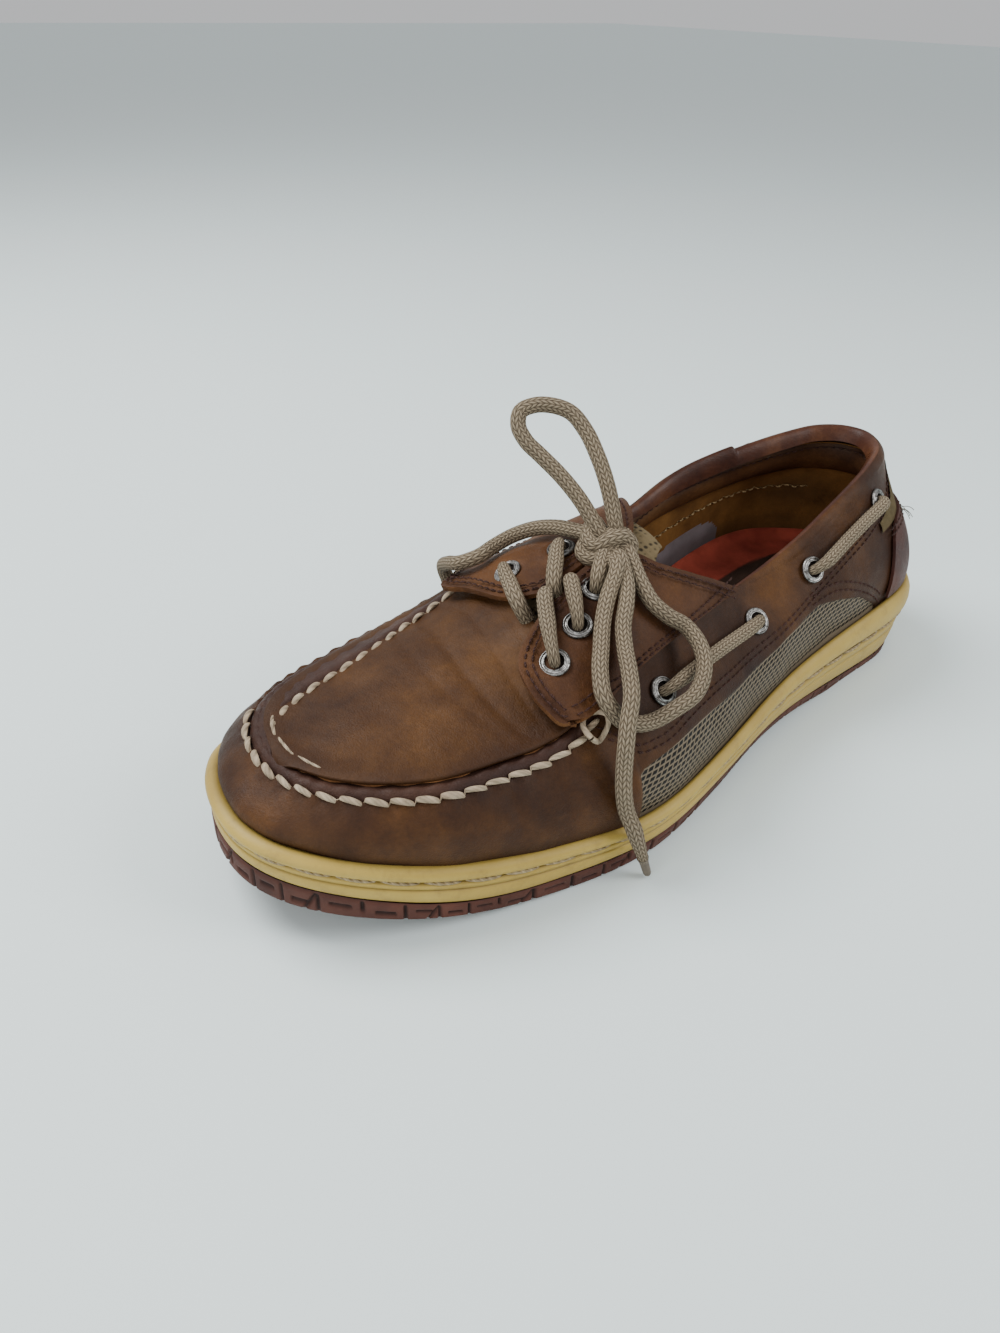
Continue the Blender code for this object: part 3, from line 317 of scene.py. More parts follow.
def unit(vector):
    return vector / np.maximum(1e-12, np.linalg.norm(vector, axis=-1, keepdims=True))


def normal_of(surface, first, second, step=VAULT_STEP):
    """Outward direction of a surface, from two short steps on it."""
    one = surface(first + step[0], second) - surface(first - step[0], second)
    two = surface(first, second + step[1]) - surface(first, second - step[1])
    normal = unit(np.cross(one, two))
    centre = np.array([0.0, 0.0, 0.02]) + surface(first, second) * np.array([0.0, 0.75, 0.0])
    turn = np.sum(normal * (surface(first, second) - centre), axis=-1, keepdims=True)
    return normal * np.where(turn < 0.0, -1.0, 1.0)


def raised(surface, first, second, height, step=VAULT_STEP):
    """Points at a height over a surface."""
    first, second, height = np.broadcast_arrays(np.array(first, float), second, height)
    return surface(first, second) + normal_of(surface, first, second, step) * height[..., None]


def wall_out(place, share):
    return normal_of(wall, np.array(place), np.array(share), WALL_STEP)


def wall_over(place, share, height):
    return raised(wall, place, share, height, WALL_STEP)


def over(row, share, height):
    """A point at a height over the upper, on the vault or on a wall beyond either edge."""
    return raised(saddle, row, share, height)


def grid_of(down, along):
    """Two grids of numbers: one changes from row to row, the other from column to column."""
    return np.broadcast_arrays(np.linspace(*down)[:, None], np.linspace(*along)[None, :])


def smooth_path(points, count):
    """Evenly spaced points on a smooth curve through given points."""
    points = np.array(points)
    knots = walked_along(points)
    fine = np.linspace(0.0, knots[-1], 1200)
    dense = np.stack([through(knots, column, fine) for column in points.T], axis=1)
    walked = walked_along(dense)
    return read_along(dense, walked, np.linspace(0.0, walked[-1], count))


def noise(points, size, seed):
    """Slow unevenness of hand-lasted leather, about -1 to 1."""
    total = np.zeros(points.shape[:-1])
    spin = np.random.default_rng(seed)
    for k in range(7):
        way = spin.normal(size=3)
        way /= np.linalg.norm(way)
        scale = size * spin.uniform(0.55, 1.6)
        total += np.sin(points @ way * 2 * math.pi / scale + spin.uniform(0, 6.28))
    return total / 3.5


# Nodes that every material uses
class Paint:
    """A material in the making. A value is a number, a colour or another node's output."""

    def __init__(self, name, roughness, specular=0.4, metallic=0.0):
        self.material = bpy.data.materials.new(name)
        self.material.use_nodes = True
        self.tree = self.material.node_tree
        self.shader = self.tree.nodes["Principled BSDF"].inputs
        self.give("Roughness", roughness)
        self.give("Specular IOR Level", specular)
        self.give("Metallic", metallic)

    def put(self, value, socket):
        if isinstance(value, (int, float)):
            socket.default_value = value
        elif isinstance(value, tuple):
            socket.default_value = (*value, 1.0)
        elif value is not None:
            self.tree.links.new(value, socket)

    def give(self, name, value):
        """Sets one input of the shader."""
        self.put(value, self.shader[name])

    def noise(self, scale, detail=4.0, rough=0.6, stretch=None):
        """A noise in object coordinates; scale is per metre."""
        place = self.tree.nodes.new("ShaderNodeTexCoord").outputs["Object"]
        if stretch:
            mapping = self.tree.nodes.new("ShaderNodeMapping")
            mapping.inputs["Scale"].default_value = stretch
            self.put(place, mapping.inputs["Vector"])
            place = mapping.outputs["Vector"]
        texture = self.tree.nodes.new("ShaderNodeTexNoise")
        for name, value in (("Scale", scale), ("Detail", detail), ("Roughness", rough), ("Vector", place)):
            self.put(value, texture.inputs[name])
        return texture.outputs["Fac"]

    def ramp(self, source, *stops):
        """A colour ramp; stops are (position, colour) or (position, grey)."""
        ramp = self.tree.nodes.new("ShaderNodeValToRGB")
        elements = ramp.color_ramp.elements
        while len(elements) < len(stops):
            elements.new(0.5)
        for element, (position, colour) in zip(elements, stops):
            element.position = position
            element.color = (*(colour if isinstance(colour, tuple) else (colour,) * 3), 1.0)
        self.put(source, ramp.inputs["Fac"])
        return ramp.outputs["Color"]

    def mix(self, factor, first, second, blend="MIX"):
        """Mixes two colours by a factor."""
        mix = self.tree.nodes.new("ShaderNodeMix")
        mix.data_type = "RGBA"
        mix.blend_type = blend
        for value, number in ((factor, 0), (first, 6), (second, 7)):
            self.put(value, mix.inputs[number])
        return mix.outputs[2]

    def shade(self, factor, colour, source, *stops):
        """Darkens and lightens a colour by a ramp of greys."""
        return self.mix(factor, colour, self.ramp(source, *stops), "MULTIPLY")

    def read(self, name):
        """A number that the mesh keeps for each vertex."""
        node = self.tree.nodes.new("ShaderNodeAttribute")
        node.attribute_name = name
        return node.outputs["Fac"]

    def number(self, operation, first, second=None):
        node = self.tree.nodes.new("ShaderNodeMath")
        node.operation = operation
        self.put(first, node.inputs[0])
        self.put(second, node.inputs[1])
        return node.outputs[0]

    def times(self, first, second):
        return self.number("MULTIPLY", first, second)

    def bump(self, height, distance, strength=1.0, before=None):
        bump = self.tree.nodes.new("ShaderNodeBump")
        for name, value in (("Distance", distance), ("Strength", strength), ("Height", height),
                            ("Normal", before)):
            self.put(value, bump.inputs[name])
        return bump.outputs["Normal"]


def leather(name, dark, middle, light, roughness=0.52, grain=0.00022, patches=26.0):
    """Worn oiled leather: mottled colour, fine grain, scuffs and a soft uneven sheen."""
    paint = Paint(name, roughness, 0.2)
    colour = paint.ramp(paint.noise(patches, 5.0, 0.62), (0.3, dark), (0.5, middle), (0.7, light))
    colour = paint.shade(0.5, colour, paint.noise(900.0, 3.0, 0.7), (0.25, 0.62), (0.75, 1.3))
    scuff = paint.noise(130.0, 6.0, 0.75, (1.0, 0.35, 1.0))
    colour = paint.mix(paint.ramp(scuff, (0.6, 0.0), (0.78, 0.55)), colour, light)
    # Darker towards the dark tone where a per-vertex layer of the mesh says so; each piece sets that layer.
    paint.give("Base Color", paint.mix(paint.read("wear_and_shade"), colour, dark))
    sheen = paint.ramp(paint.noise(60.0), (0.3, roughness - 0.1), (0.7, roughness + 0.14))
    paint.give("Roughness", sheen)
    pores = paint.bump(paint.noise(1900.0, 3.0, 0.6), grain)
    paint.give("Normal", paint.bump(paint.noise(260.0, 4.0, 0.6), grain * 2.2, 0.6, pores))
    return paint


def grid_piece(name, points, paint, close=False, layers=None):
    """A soft piece from a grid of points: a plane grid whose vertices are moved in place.
    layers are numbers for each vertex, by name, that the materials read."""
    rows, columns = points.shape[:2]
    mesh = bmesh.new()
    bmesh.ops.create_grid(mesh, x_segments=columns - 1, y_segments=rows - 1, size=1.0)
    mesh.verts.ensure_lookup_table()
    flat = points.reshape(-1, 3)
    for vertex, place in zip(mesh.verts, flat):
        vertex.co = place
    for layer_name, values in (layers or {}).items():
        layer = mesh.verts.layers.float.new(layer_name)
        for vertex, value in zip(mesh.verts, np.array(values).ravel()):
            vertex[layer] = float(value)
    if close:
        bmesh.ops.remove_doubles(mesh, verts=mesh.verts, dist=1e-7)
    return mesh_piece(name, mesh, paint)


def mesh_piece(name, mesh, paint, smooth=True):
    data = bpy.data.meshes.new(name)
    mesh.to_mesh(data)
    mesh.free()
    data.materials.append(paint.material)
    if smooth:
        data.shade_smooth()
    piece = new_object(name, data)
    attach(piece, "root")
    return piece


def thicken(piece, thickness, offset=-1.0, edge=0.0):
    """Gives a soft piece its thickness and, with an edge width, rounded edges."""
    wall_of = piece.modifiers.new("thickness", "SOLIDIFY")
    wall_of.thickness = thickness
    wall_of.offset = offset
    wall_of.use_even_offset = False
    if edge:
        round_of = piece.modifiers.new("rounded", "BEVEL")
        round_of.width = edge
        round_of.segments = 3
        round_of.limit_method = "ANGLE"
        round_of.angle_limit = math.radians(50)
    return piece


# Lace
# One round braided polyester cord, khaki, about 5 mm thick. It runs through the stays' eyelets,
# is tied in a bow on top, and shows as a bar along each side between the wall eyelets.
LACE_RADIUS = 0.00255
BRAID_COLUMNS = 14.0
BRAID_PITCH = 0.0019


def braid_material():
    paint = Paint("braid", 0.85, 0.25)
    columns = paint.times(paint.read("around"), BRAID_COLUMNS)
    across = paint.number("FRACT", columns)
    odd = paint.number("MODULO", paint.number("FLOOR", columns), 2.0)
    lean = paint.times(paint.number("SUBTRACT", odd, 0.5), 1.8)
    run = paint.times(paint.read("along"), 1.0 / BRAID_PITCH)
    slanted = paint.number("ADD", run, paint.times(lean, across))
    plait = paint.number("SINE", paint.times(paint.number("FRACT", slanted), math.pi))
    rib = paint.number("SINE", paint.times(across, math.pi))
    weave = paint.times(paint.number("POWER", plait, 0.6), paint.number("POWER", rib, 0.45))
    fibre = paint.noise(2600.0, 3.0, 0.7)
    # Painted shade: the weave's ramp is dark in the gaps between the plaited strands and lighter on their
    # crests.
    colour = paint.ramp(weave, (0.1, (0.07, 0.051, 0.032)), (0.45, (0.178, 0.137, 0.088)),
                        (0.95, (0.305, 0.245, 0.168)))
    colour = paint.shade(0.6, colour, fibre, (0.25, 0.75), (0.75, 1.22))
    colour = paint.shade(0.5, colour, paint.noise(45.0, 4.0, 0.6), (0.3, 0.72), (0.65, 1.1))
    paint.give("Base Color", colour)
    paint.give("Normal", paint.bump(fibre, 0.00012, 0.7, paint.bump(weave, 0.00045)))
    return paint


BRAID = braid_material()


def swept(line, side, other, angle, wide, high, grow):
    """Grid of a tube round a line: half widths along side and other, grown at each point."""
    return line[:, None] + (side[:, None] * (np.cos(angle) * wide)[None, :, None]
                            + other[:, None] * (np.sin(angle) * high)[None, :, None]) * grow[:, None, None]


def way_layers(angle, walked):
    """The way around and along a tube, kept for its braid or twist."""
    shape = (len(walked), len(angle))
    return {"around": np.broadcast_to(angle / (2 * math.pi), shape),
            "along": np.broadcast_to(walked[:, None], shape)}


def tube_piece(name, path, radius, paint, sides=18, step=0.0009, taper=None):
    """A round tube with closed ends, swept along a path."""
    steps = np.linalg.norm(np.diff(np.array(path), axis=0), axis=1).sum()
    count = max(6, int(steps / step))
    line = smooth_path(path, count)
    ahead = unit(np.gradient(line, axis=0))
    side = np.zeros_like(line)
    first = np.cross(ahead[0], UP)
    side[0] = first / np.linalg.norm(first)
    for i in range(1, count):
        carried = side[i - 1] - ahead[i] * (side[i - 1] @ ahead[i])
        side[i] = carried / np.linalg.norm(carried)
    angle = np.linspace(0, 2 * math.pi, sides + 1)
    size = np.full(count, radius)
    if taper is not None:
        size = radius * np.interp(np.linspace(0, 1, count), *taper)
    walked = walked_along(line)
    points = swept(line, side, np.cross(ahead, side), angle, 1.0, 1.0, size)
    piece = grid_piece(name, points, paint, layers=way_layers(angle, walked))
    caps = bmesh.new()
    caps.from_mesh(piece.data)
    bmesh.ops.holes_fill(caps, edges=[edge for edge in caps.edges if edge.is_boundary], sides=sides + 2)
    caps.to_mesh(piece.data)
    caps.free()
    piece.data.shade_smooth()
    return piece, line, float(walked[-1])


KNOT_AT = (15.45, 0.385)
KNOT_HEIGHT = 0.0064
# metres from the knot
LOOP_UP = (
    (-0.0052, -0.0012, 0.0046), (-0.0118, -0.0022, 0.0111), (-0.0194, -0.0044, 0.0175),
    (-0.0263, -0.0071, 0.0226), (-0.0314, -0.0091, 0.0264), (-0.035, -0.0092, 0.0303),
    (-0.0364, -0.0073, 0.0338), (-0.0344, -0.0029, 0.0357), (-0.0313, 0.0008, 0.0358),
    (-0.0263, 0.005, 0.0341), (-0.0207, 0.0067, 0.0295), (-0.0147, 0.0069, 0.023),
    (-0.0084, 0.0061, 0.0152), (-0.0036, 0.0048, 0.008), (-0.002, 0.0042, 0.0054),
)
# cross row, share across, height over the upper
LOOP_DOWN = (
    (15.56, 0.262, 0.007), (15.38, 0.176, 0.0066), (15.39, 0.108, 0.0064), (15.68, 0.047, 0.0064),
    (16.11, -0.004, 0.0066), (16.11, -0.128, 0.0086), (15.92, -0.235, 0.0098), (15.56, -0.324, 0.01),
    (15.14, -0.365, 0.0098), (14.4, -0.367, 0.008), (13.52, -0.345, 0.0044), (13.0, -0.292, 0.0044),
    (12.51, -0.187, 0.0046), (12.19, -0.055, 0.0066), (12.11, 0.016, 0.0086), (12.37, 0.06, 0.0088),
    (12.81, 0.099, 0.0074), (13.45, 0.157, 0.0066), (14.04, 0.202, 0.0076), (14.26, 0.216, 0.008),
)
END_OUTER = (
    (15.02, 0.236, 0.0078), (14.84, 0.198, 0.008), (14.45, 0.15, 0.008), (13.89, 0.101, 0.0076),
    (13.43, 0.046, 0.0082), (12.91, 0.003, 0.0112), (12.41, -0.043, 0.013), (12.15, -0.135, 0.012),
    (12.0, -0.257, 0.0098), (11.98, -0.394, 0.0066), (11.92, -0.577, 0.0044), (12.04, -0.802, 0.0036),
)
END_DROP = (
    (0.0592, -0.0521, 0.0215), (0.0608, -0.0511, 0.0165), (0.0617, -0.0498, 0.0118),
    (0.0622, -0.0486, 0.0078),
)
END_INNER = (
    (15.02, 0.515, 0.0076), (14.84, 0.61, 0.0072), (14.48, 0.715, 0.007), (13.86, 0.795, 0.0068),
    (13.18, 0.805, 0.007), (12.58, 0.79, 0.008), (12.1, 0.83, 0.009), (12.0, 0.92, 0.009),
    (12.1, 1.02, 0.0078), (12.3, 1.16, 0.0052), (12.5, 1.34, 0.0042), (12.6, 1.5, 0.004),
)
knot_centre = over(*KNOT_AT, KNOT_HEIGHT)
# millimetres to the right, up and towards the viewer's side from the knot
KNOT_WRAPS = (
    ((-5.5, 5.5, -2.5), (-6.5, 1.0, 0.5), (-4.0, -1.5, 3.2), (0.5, 0.8, 4.6), (4.8, 1.6, 3.0),
     (7.2, -1.0, 0.0), (5.5, -3.8, -2.5)),
    ((5.5, 3.5, -2.0), (3.0, -0.2, 1.4), (-1.0, -3.6, 3.2), (-5.4, -5.6, 2.4), (-8.2, -3.2, -0.2),
     (-6.8, 0.6, -2.4)),
)
knot_right = np.array(right)
knot_up = np.array(up)
knot_near = np.array(back)
for number, wrap in enumerate(KNOT_WRAPS):
    path = [knot_centre + (knot_right * x + knot_up * y + knot_near * z) * 0.001 for x, y, z in wrap]
    knot = tube_piece("lace_bow_knot_" + str(number + 1), path, LACE_RADIUS, BRAID)[0]
    if number == 0:
        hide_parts("lace_knot")
END_TAPER = ((0.0, 0.88, 1.0), (1.0, 1.0, 0.64))
LACE_TIPS = []
LACE_STARTS = []
for node_name, path, far_end, lay in (
        ("lace_loop_up", [knot_centre + np.array(step) for step in LOOP_UP], "knot", "loose"),
        ("lace_loop_down", [over(*point) for point in LOOP_DOWN], "knot", "loose"),
        ("lace_end_outer", [over(*point) for point in END_OUTER] + [np.array(point) for point in END_DROP],
         "bare", "hanging"),
        ("lace_end_inner", [over(*point) for point in END_INNER], "bare", "hanging")):
    taper = END_TAPER if far_end == "bare" else None
    piece, line, length = tube_piece(node_name + "_cord", path, LACE_RADIUS, BRAID, taper=taper)
    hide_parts(node_name)
    LACE_STARTS.append((node_name + "_start", line[0], line[3]))
    if far_end == "knot":
        LACE_STARTS.append((node_name + "_return", line[-1], line[-4]))
    else:
        LACE_TIPS.append((node_name, line))
for name, start, further in LACE_STARTS:
    ahead = unit(start - further)
    inwards = knot_centre - start
    reach = float(np.linalg.norm(inwards))
    path = [further, start, start + ahead * reach * 0.35 + inwards * 0.1, start + inwards * 0.62,
            start + inwards * 0.92]
    lead = tube_piece(name, path, LACE_RADIUS * 0.985, BRAID)[0]

# Lace strands over the stays and along the sides
# The same cord where it crosses from eyelet to eyelet on top, and where it shows as two bars on
# each side wall. These strands are held, so they follow the solids.
STAY_LEATHER = 0.0018
STAY_GAP = 0.0008
# cross row, metres that the stays stand off the upper
STAY_LIFT = ((10.0, 0.0046), (11.2, 0.0036), (12.0, 0.0022), (13.0, 0.0008), (14.2, 0.0), (21.0, 0.0))
# cross row, share across from the side's own edge in a stay, share up from the rim in a wall
OUTER_STAY_EYELETS = ((11.65, 0.2), (12.8, 0.214), (14.15, 0.272))
INNER_STAY_EYELETS = ((12.58, 0.375), (14.44, 0.458), (15.82, 0.452))
OUTER_WALL_EYELETS = ((14.83, 0.73), (20.15, 0.73), (22.95, 0.8), (27.0, 0.82))
INNER_WALL_EYELETS = ((15.2, 0.64), (20.6, 0.74), (23.6, 0.76), (27.2, 0.84))
STAYS = ((1, "outer", OUTER_STAY_EYELETS), (-1, "inner", INNER_STAY_EYELETS))
WALLS = (("outer", OUTER_WALL_EYELETS), ("inner", INNER_WALL_EYELETS))
# part of the way from the first eyelet, height over the leather
STRAND_STEPS = (
    (0.0, -0.003), (0.0, 0.0026), (0.2, 0.0046), (0.55, 0.004), (0.85, 0.0034), (0.95, 0.0018),
    (1.02, -0.0035), (1.05, -0.009),
)
SHORT_STEPS = ((0.0, -0.003), (0.0, 0.0024), (0.22, 0.0046), (0.5, 0.0044), (0.8, 0.004))
# where the three strands of a side go: cross row, share across from the outer edge
MEETS = {1: ((12.75, 0.392), (13.6, 0.36), KNOT_AT), -1: ((11.95, 0.425), (12.95, 0.372), KNOT_AT)}
# places along the lace, its size there
STRAND_TAPER = ((0.0, 0.2, 0.42, 1.0), (0.6, 0.74, 1.0, 1.0))
BAR_STEPS = (
    (0.0, -0.004), (0.0, 0.0022), (0.07, 0.0042), (0.18, 0.004), (0.34, 0.0033), (0.5, 0.0031),
    (0.66, 0.0033), (0.82, 0.004), (0.93, 0.0042), (1.0, 0.0022), (1.0, -0.004),
)
BAR_TAPER = ((0.0, 0.1, 0.2, 0.8, 0.9, 1.0), (0.6, 0.7, 0.94, 0.94, 0.7, 0.6))


def own_share(side, share):
    """A share across, counted from the side's own edge, as a share from the outer edge."""
    return share if side > 0 else 1.0 - share


def stay_over(side, row, share, height):
    """A point over an eyestay's underside; share counts from that stay's own side."""
    row, share, height = np.broadcast_arrays(np.array(row, float), share, height)
    lift = np.interp(row, [pair[0] for pair in STAY_LIFT], [pair[1] for pair in STAY_LIFT]) + STAY_GAP
    return over(row, own_share(side, share), height + lift)


def strand(side, eyelet, meet, steps):
    """Points of a lace from an eyelet to the (row, share) where it goes, by (part, height)."""
    row, share = eyelet
    goal = own_share(side, meet[1])
    return [stay_over(side, row + (meet[0] - row) * part, share + (goal - share) * part,
                      STAY_LEATHER + height)
            for part, height in steps]


for side, side_name, places in STAYS:
    for name, eyelet, meet in zip(("front", "rear", "top"), places, MEETS[side]):
        path = strand(side, eyelet, meet, SHORT_STEPS if name == "top" else STRAND_STEPS)
        full_name = "strand_" + side_name + "_" + name
        piece = tube_piece(full_name, path, LACE_RADIUS, BRAID, taper=STRAND_TAPER)[0]
        if name == "top":
            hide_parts("lace_strand_" + side_name)
        elif side > 0:
            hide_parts("lace_cross_" + name)
for side_name, places in WALLS:
    for name, first, last in (("front", places[0], places[1]), ("rear", places[2], places[3])):
        path = [wall_over(row_size(side_name, first[0] + (last[0] - first[0]) * part),
                          first[1] + (last[1] - first[1]) * part, height) for part, height in BAR_STEPS]
        full_name = "lace_side_" + side_name + "_" + name
        bar = tube_piece(full_name, path, LACE_RADIUS, BRAID, taper=BAR_TAPER)[0]
        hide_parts("lace_bar_" + side_name + "_" + name)

# Side wall
# The outer leather, one skin from the sole's rim to the turned edge: vamp in front, quarters
# behind, and an open mesh panel let into each side low down. Creases where the vamp bends.
# cross rows, and there the upper edge of the mesh panel as a share of the wall
PANEL_ROWS = (12.95, 13.2, 13.9, 15.97, 18.6, 21.2, 23.2, 24.2, 25.3, 26.3)
PANEL_TOPS = (0.36, 0.38, 0.386, 0.395, 0.385, 0.414, 0.447, 0.33, 0.196, 0.0)
VAMP_END = 12.85
WALL_STATIONS = 700
WALL_LEVELS = 52
# metres: from one cross row to the next, and the pitch of the pleats and of the panels' holes
ROW_LENGTH = 0.0042
PLEAT = 0.0072
HOLE_ROW = 0.00185
HOLE_PITCH = 0.0026


def row_of(place):
    """The cross row that meets the sole's edge at a place, on either side."""
    rows = np.linspace(0.0, LAST_ROW, 641)
    place = np.mod(place, 1.0)
    outer = np.interp(place, row_size("outer", rows)[::-1], rows[::-1])
    inner = np.interp(place, row_size("inner", rows), rows)
    return np.where(place <= 0.5, outer, inner)


def wall_length(place):
    steps = np.linspace(0.0, 1.0, 9)
    line = wall(np.array(place)[..., None], steps)
    return np.linalg.norm(np.diff(line, axis=-2), axis=-1).sum(axis=-1)


def panel_inside(place, share):
    """Metres inside the mesh panel's edge, below zero outside it."""
    row = row_of(place)
    top = np.interp(row, PANEL_ROWS, PANEL_TOPS, left=-1.0, right=-1.0)
    return np.minimum((top - share) * wall_length(place), (row - PANEL_ROWS[0]) * ROW_LENGTH)


def smooth_step(value, low, high):
    u = np.clip((value - low) / (high - low), 0.0, 1.0)
    return u * u * (3 - 2 * u)


def crease(place, share, where, high, low, width):
    """A soft trough that runs up the wall from one place, share to another."""
    row = row_of(place)
    side = np.where(np.mod(place, 1.0) <= 0.5, 1.0, -1.0)
    along = (share - low[1]) / (high[1] - low[1])
    centre = low[0] + (high[0] - low[0]) * along
    across = (row - centre) / width
    fade = np.clip(along * 3, 0, 1) * np.clip((1 - along) * 3, 0, 1)
    return np.exp(-across**2) * np.where((along > 0) & (along < 1), fade, 0.0) * (side == where)


def wall_relief(place, share):
    """Height of the leather over the plain wall."""
    inside = panel_inside(place, share)
    row = row_of(place)
    points = wall(place, share)
    relief = 0.00035 * noise(points, 0.045, 3) + 0.00012 * noise(points, 0.014, 5)
    relief -= 0.0008 * smooth_step(inside, -0.0003, 0.0005)
    relief += 0.0009 * smooth_step((VAMP_END - row) * ROW_LENGTH, -0.0003, 0.0003)
    front = seam_shares(place)[0]
    pleat = np.cos(place * GIRTH / PLEAT * 2 * math.pi)
    relief += 0.00035 * pleat * front * smooth_step(share, 0.72, 0.98)
    for where, high, low, width, depth in (
            (1, (9.6, 0.95), (10.8, 0.15), 0.22, 0.001), (1, (8.2, 0.95), (8.9, 0.25), 0.2, 0.0007),
            (1, (11.0, 0.85), (12.2, 0.2), 0.18, 0.0008), (-1, (9.4, 0.95), (10.4, 0.15), 0.22, 0.001),
            (-1, (7.9, 0.95), (8.4, 0.3), 0.2, 0.0006), (-1, (11.2, 0.8), (11.9, 0.2), 0.2, 0.0008)):
        relief -= depth * crease(place, share, where, high, low, width)
    return relief


def wall_material():
    """Leather, and where inside is above zero the open mesh of the side panels, its holes painted near
    black as shade.
    """
    paint = leather("wall_leather", (0.016, 0.0055, 0.003), (0.044, 0.016, 0.0045), (0.096, 0.038, 0.009))
    colour = paint.shader["Base Color"].links[0].from_socket
    normal = paint.shader["Normal"].links[0].from_socket
    level = paint.number("DIVIDE", paint.read("rise"), HOLE_ROW)
    in_row = paint.number("FRACT", level)
    run = paint.number("DIVIDE", paint.read("run"), HOLE_PITCH)
    run = paint.number("ADD", run, paint.times(paint.number("FLOOR", level), 0.5))
    run = paint.number("ADD", run, paint.times(in_row, 0.45))
    off_run = paint.number("ABSOLUTE", paint.number("SUBTRACT", paint.number("FRACT", run), 0.5))
    off_row = paint.number("ABSOLUTE", paint.number("SUBTRACT", in_row, 0.5))
    hole = paint.times(paint.ramp(off_run, (0.32, 1.0), (0.41, 0.0)),
                       paint.ramp(off_row, (0.26, 1.0), (0.38, 0.0)))
    strands = paint.shade(0.6, (0.19, 0.15, 0.1), paint.noise(2400.0, 2.0), (0.3, 0.65), (0.7, 1.25))
    inside = paint.number("GREATER_THAN", paint.read("inside"), 0.0)
    # The mesh's holes are painted near black: painted shade for the depth behind them.
    paint.give("Base Color", paint.mix(inside, colour, paint.mix(hole, strands, (0.005, 0.004, 0.003))))
    mesh_normal = paint.bump(paint.number("SUBTRACT", 1.0, hole), 0.0005)
    mix = paint.tree.nodes.new("ShaderNodeMix")
    mix.data_type = "VECTOR"
    for value, number in ((inside, 0), (normal, 4), (mesh_normal, 5)):
        paint.put(value, mix.inputs[number])
    paint.give("Normal", mix.outputs[1])
    return paint


share, place = grid_of((0.0, 1.0, WALL_LEVELS), (0.0, 1.0, WALL_STATIONS + 1))
points = wall_over(place, share, wall_relief(place, share))
points[-1] = top_of(place[-1])
foot = sole_point(place[:1], sole_size("lip", place[:1]) + GAP, sole_size("rim", place[:1]) - 0.004)
layers = {"inside": panel_inside(place, share) * 1000, "run": place * GIRTH,
          "rise": share * wall_length(place)}
toe = smooth_step(place, 0.36, 0.42) * (1.0 - smooth_step(place, 0.62, 0.66))
heel = (1.0 - smooth_step(np.minimum(place, 1.0 - place), 0.1, 0.15)) * (1.0 - smooth_step(share, 0.5, 0.7))
bruise = smooth_step(noise(points * np.array([1.0, 1.0, 1.7]), 0.03, 81), -0.1, 0.45)
# Darker along the foot of the wall, in patches at the toe and low at the heel.
wear = 0.5 * smooth_step(0.16 - share, 0.0, 0.14) + 0.36 * toe * bruise + 0.3 * heel
layers["wear_and_shade"] = np.clip(wear, 0.0, 0.9)
layers = {key: np.concatenate([value[:1], value]) for key, value in layers.items()}
WALL_LEATHER = wall_material()
wall_skin = grid_piece("side_wall", np.concatenate([foot, points]), WALL_LEATHER, close=True, layers=layers)
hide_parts("upper")

# Turned edges
# In front the wall leather is folded in and raised into the dark gathered ridge of the
# moccasin seam. Behind, the same edge is a padded roll of smooth red-brown leather.
DARK_LEATHER = leather("ridge_leather", (0.018, 0.008, 0.006), (0.04, 0.017, 0.011), (0.075, 0.034, 0.02),
                       0.5)
ROLL_LEATHER = leather("roll_leather", (0.022, 0.0075, 0.005), (0.056, 0.019, 0.01), (0.112, 0.044, 0.019),
                       0.36, 0.0001, 40.0)


def turned_edge(name, places, levels, paint, begin=0.0, end=1.0):
    """The fold from the wall's edge inwards and down to its inner end."""
    front, rear = seam_shares(places)
    plain = 1.0 - front - rear
    width = SEAM_FOLD * front + COLLAR_FOLD * rear + PLAIN_FOLD * plain
    rise = SEAM_RISE * front + COLLAR_RISE * rear
    sleeve = np.mod(places, 1.0)
    step = smooth_step(sleeve, 0.82, 0.86) * (1.0 - smooth_step(sleeve, 0.8815, 0.884))
    rise = rise + 0.0018 * step
    tail = -COLLAR_TAIL * rear
    gather = 0.5 + 0.5 * np.cos(places * GIRTH / PLEAT * 2 * math.pi)
    lines = []
    for w in np.linspace(begin, end, levels):
        bulge = math.sin(math.pi * min(1.0, w * 1.02)) ** 0.75 if 0.0 < w < 0.98 else 0.0
        height = rise * bulge * (1.0 - 0.16 * gather * front) + tail * w**4 + front * 0.0017 * w**6
        lines.append(top_of(places) - edge_out(places) * (width * w)[..., None] + UP * height[..., None])
    return grid_piece(name, np.array(lines), paint)


ridge = turned_edge("seam_ridge", np.linspace(0.322, 0.708, 560), 14, DARK_LEATHER)
roll = turned_edge("collar_roll", np.linspace(-0.212, 0.24, 420), 12, ROLL_LEATHER, 0.4, 1.0)
roll_out = turned_edge("collar_edge", np.linspace(-0.212, 0.24, 420), 10, WALL_LEATHER, 0.0, 0.42)
for name, ends in (("throat_edge_outer", (0.238, 0.324)), ("throat_edge_inner", (0.706, 0.79))):
    edge = turned_edge(name, np.linspace(*ends, 60), 5, WALL_LEATHER)

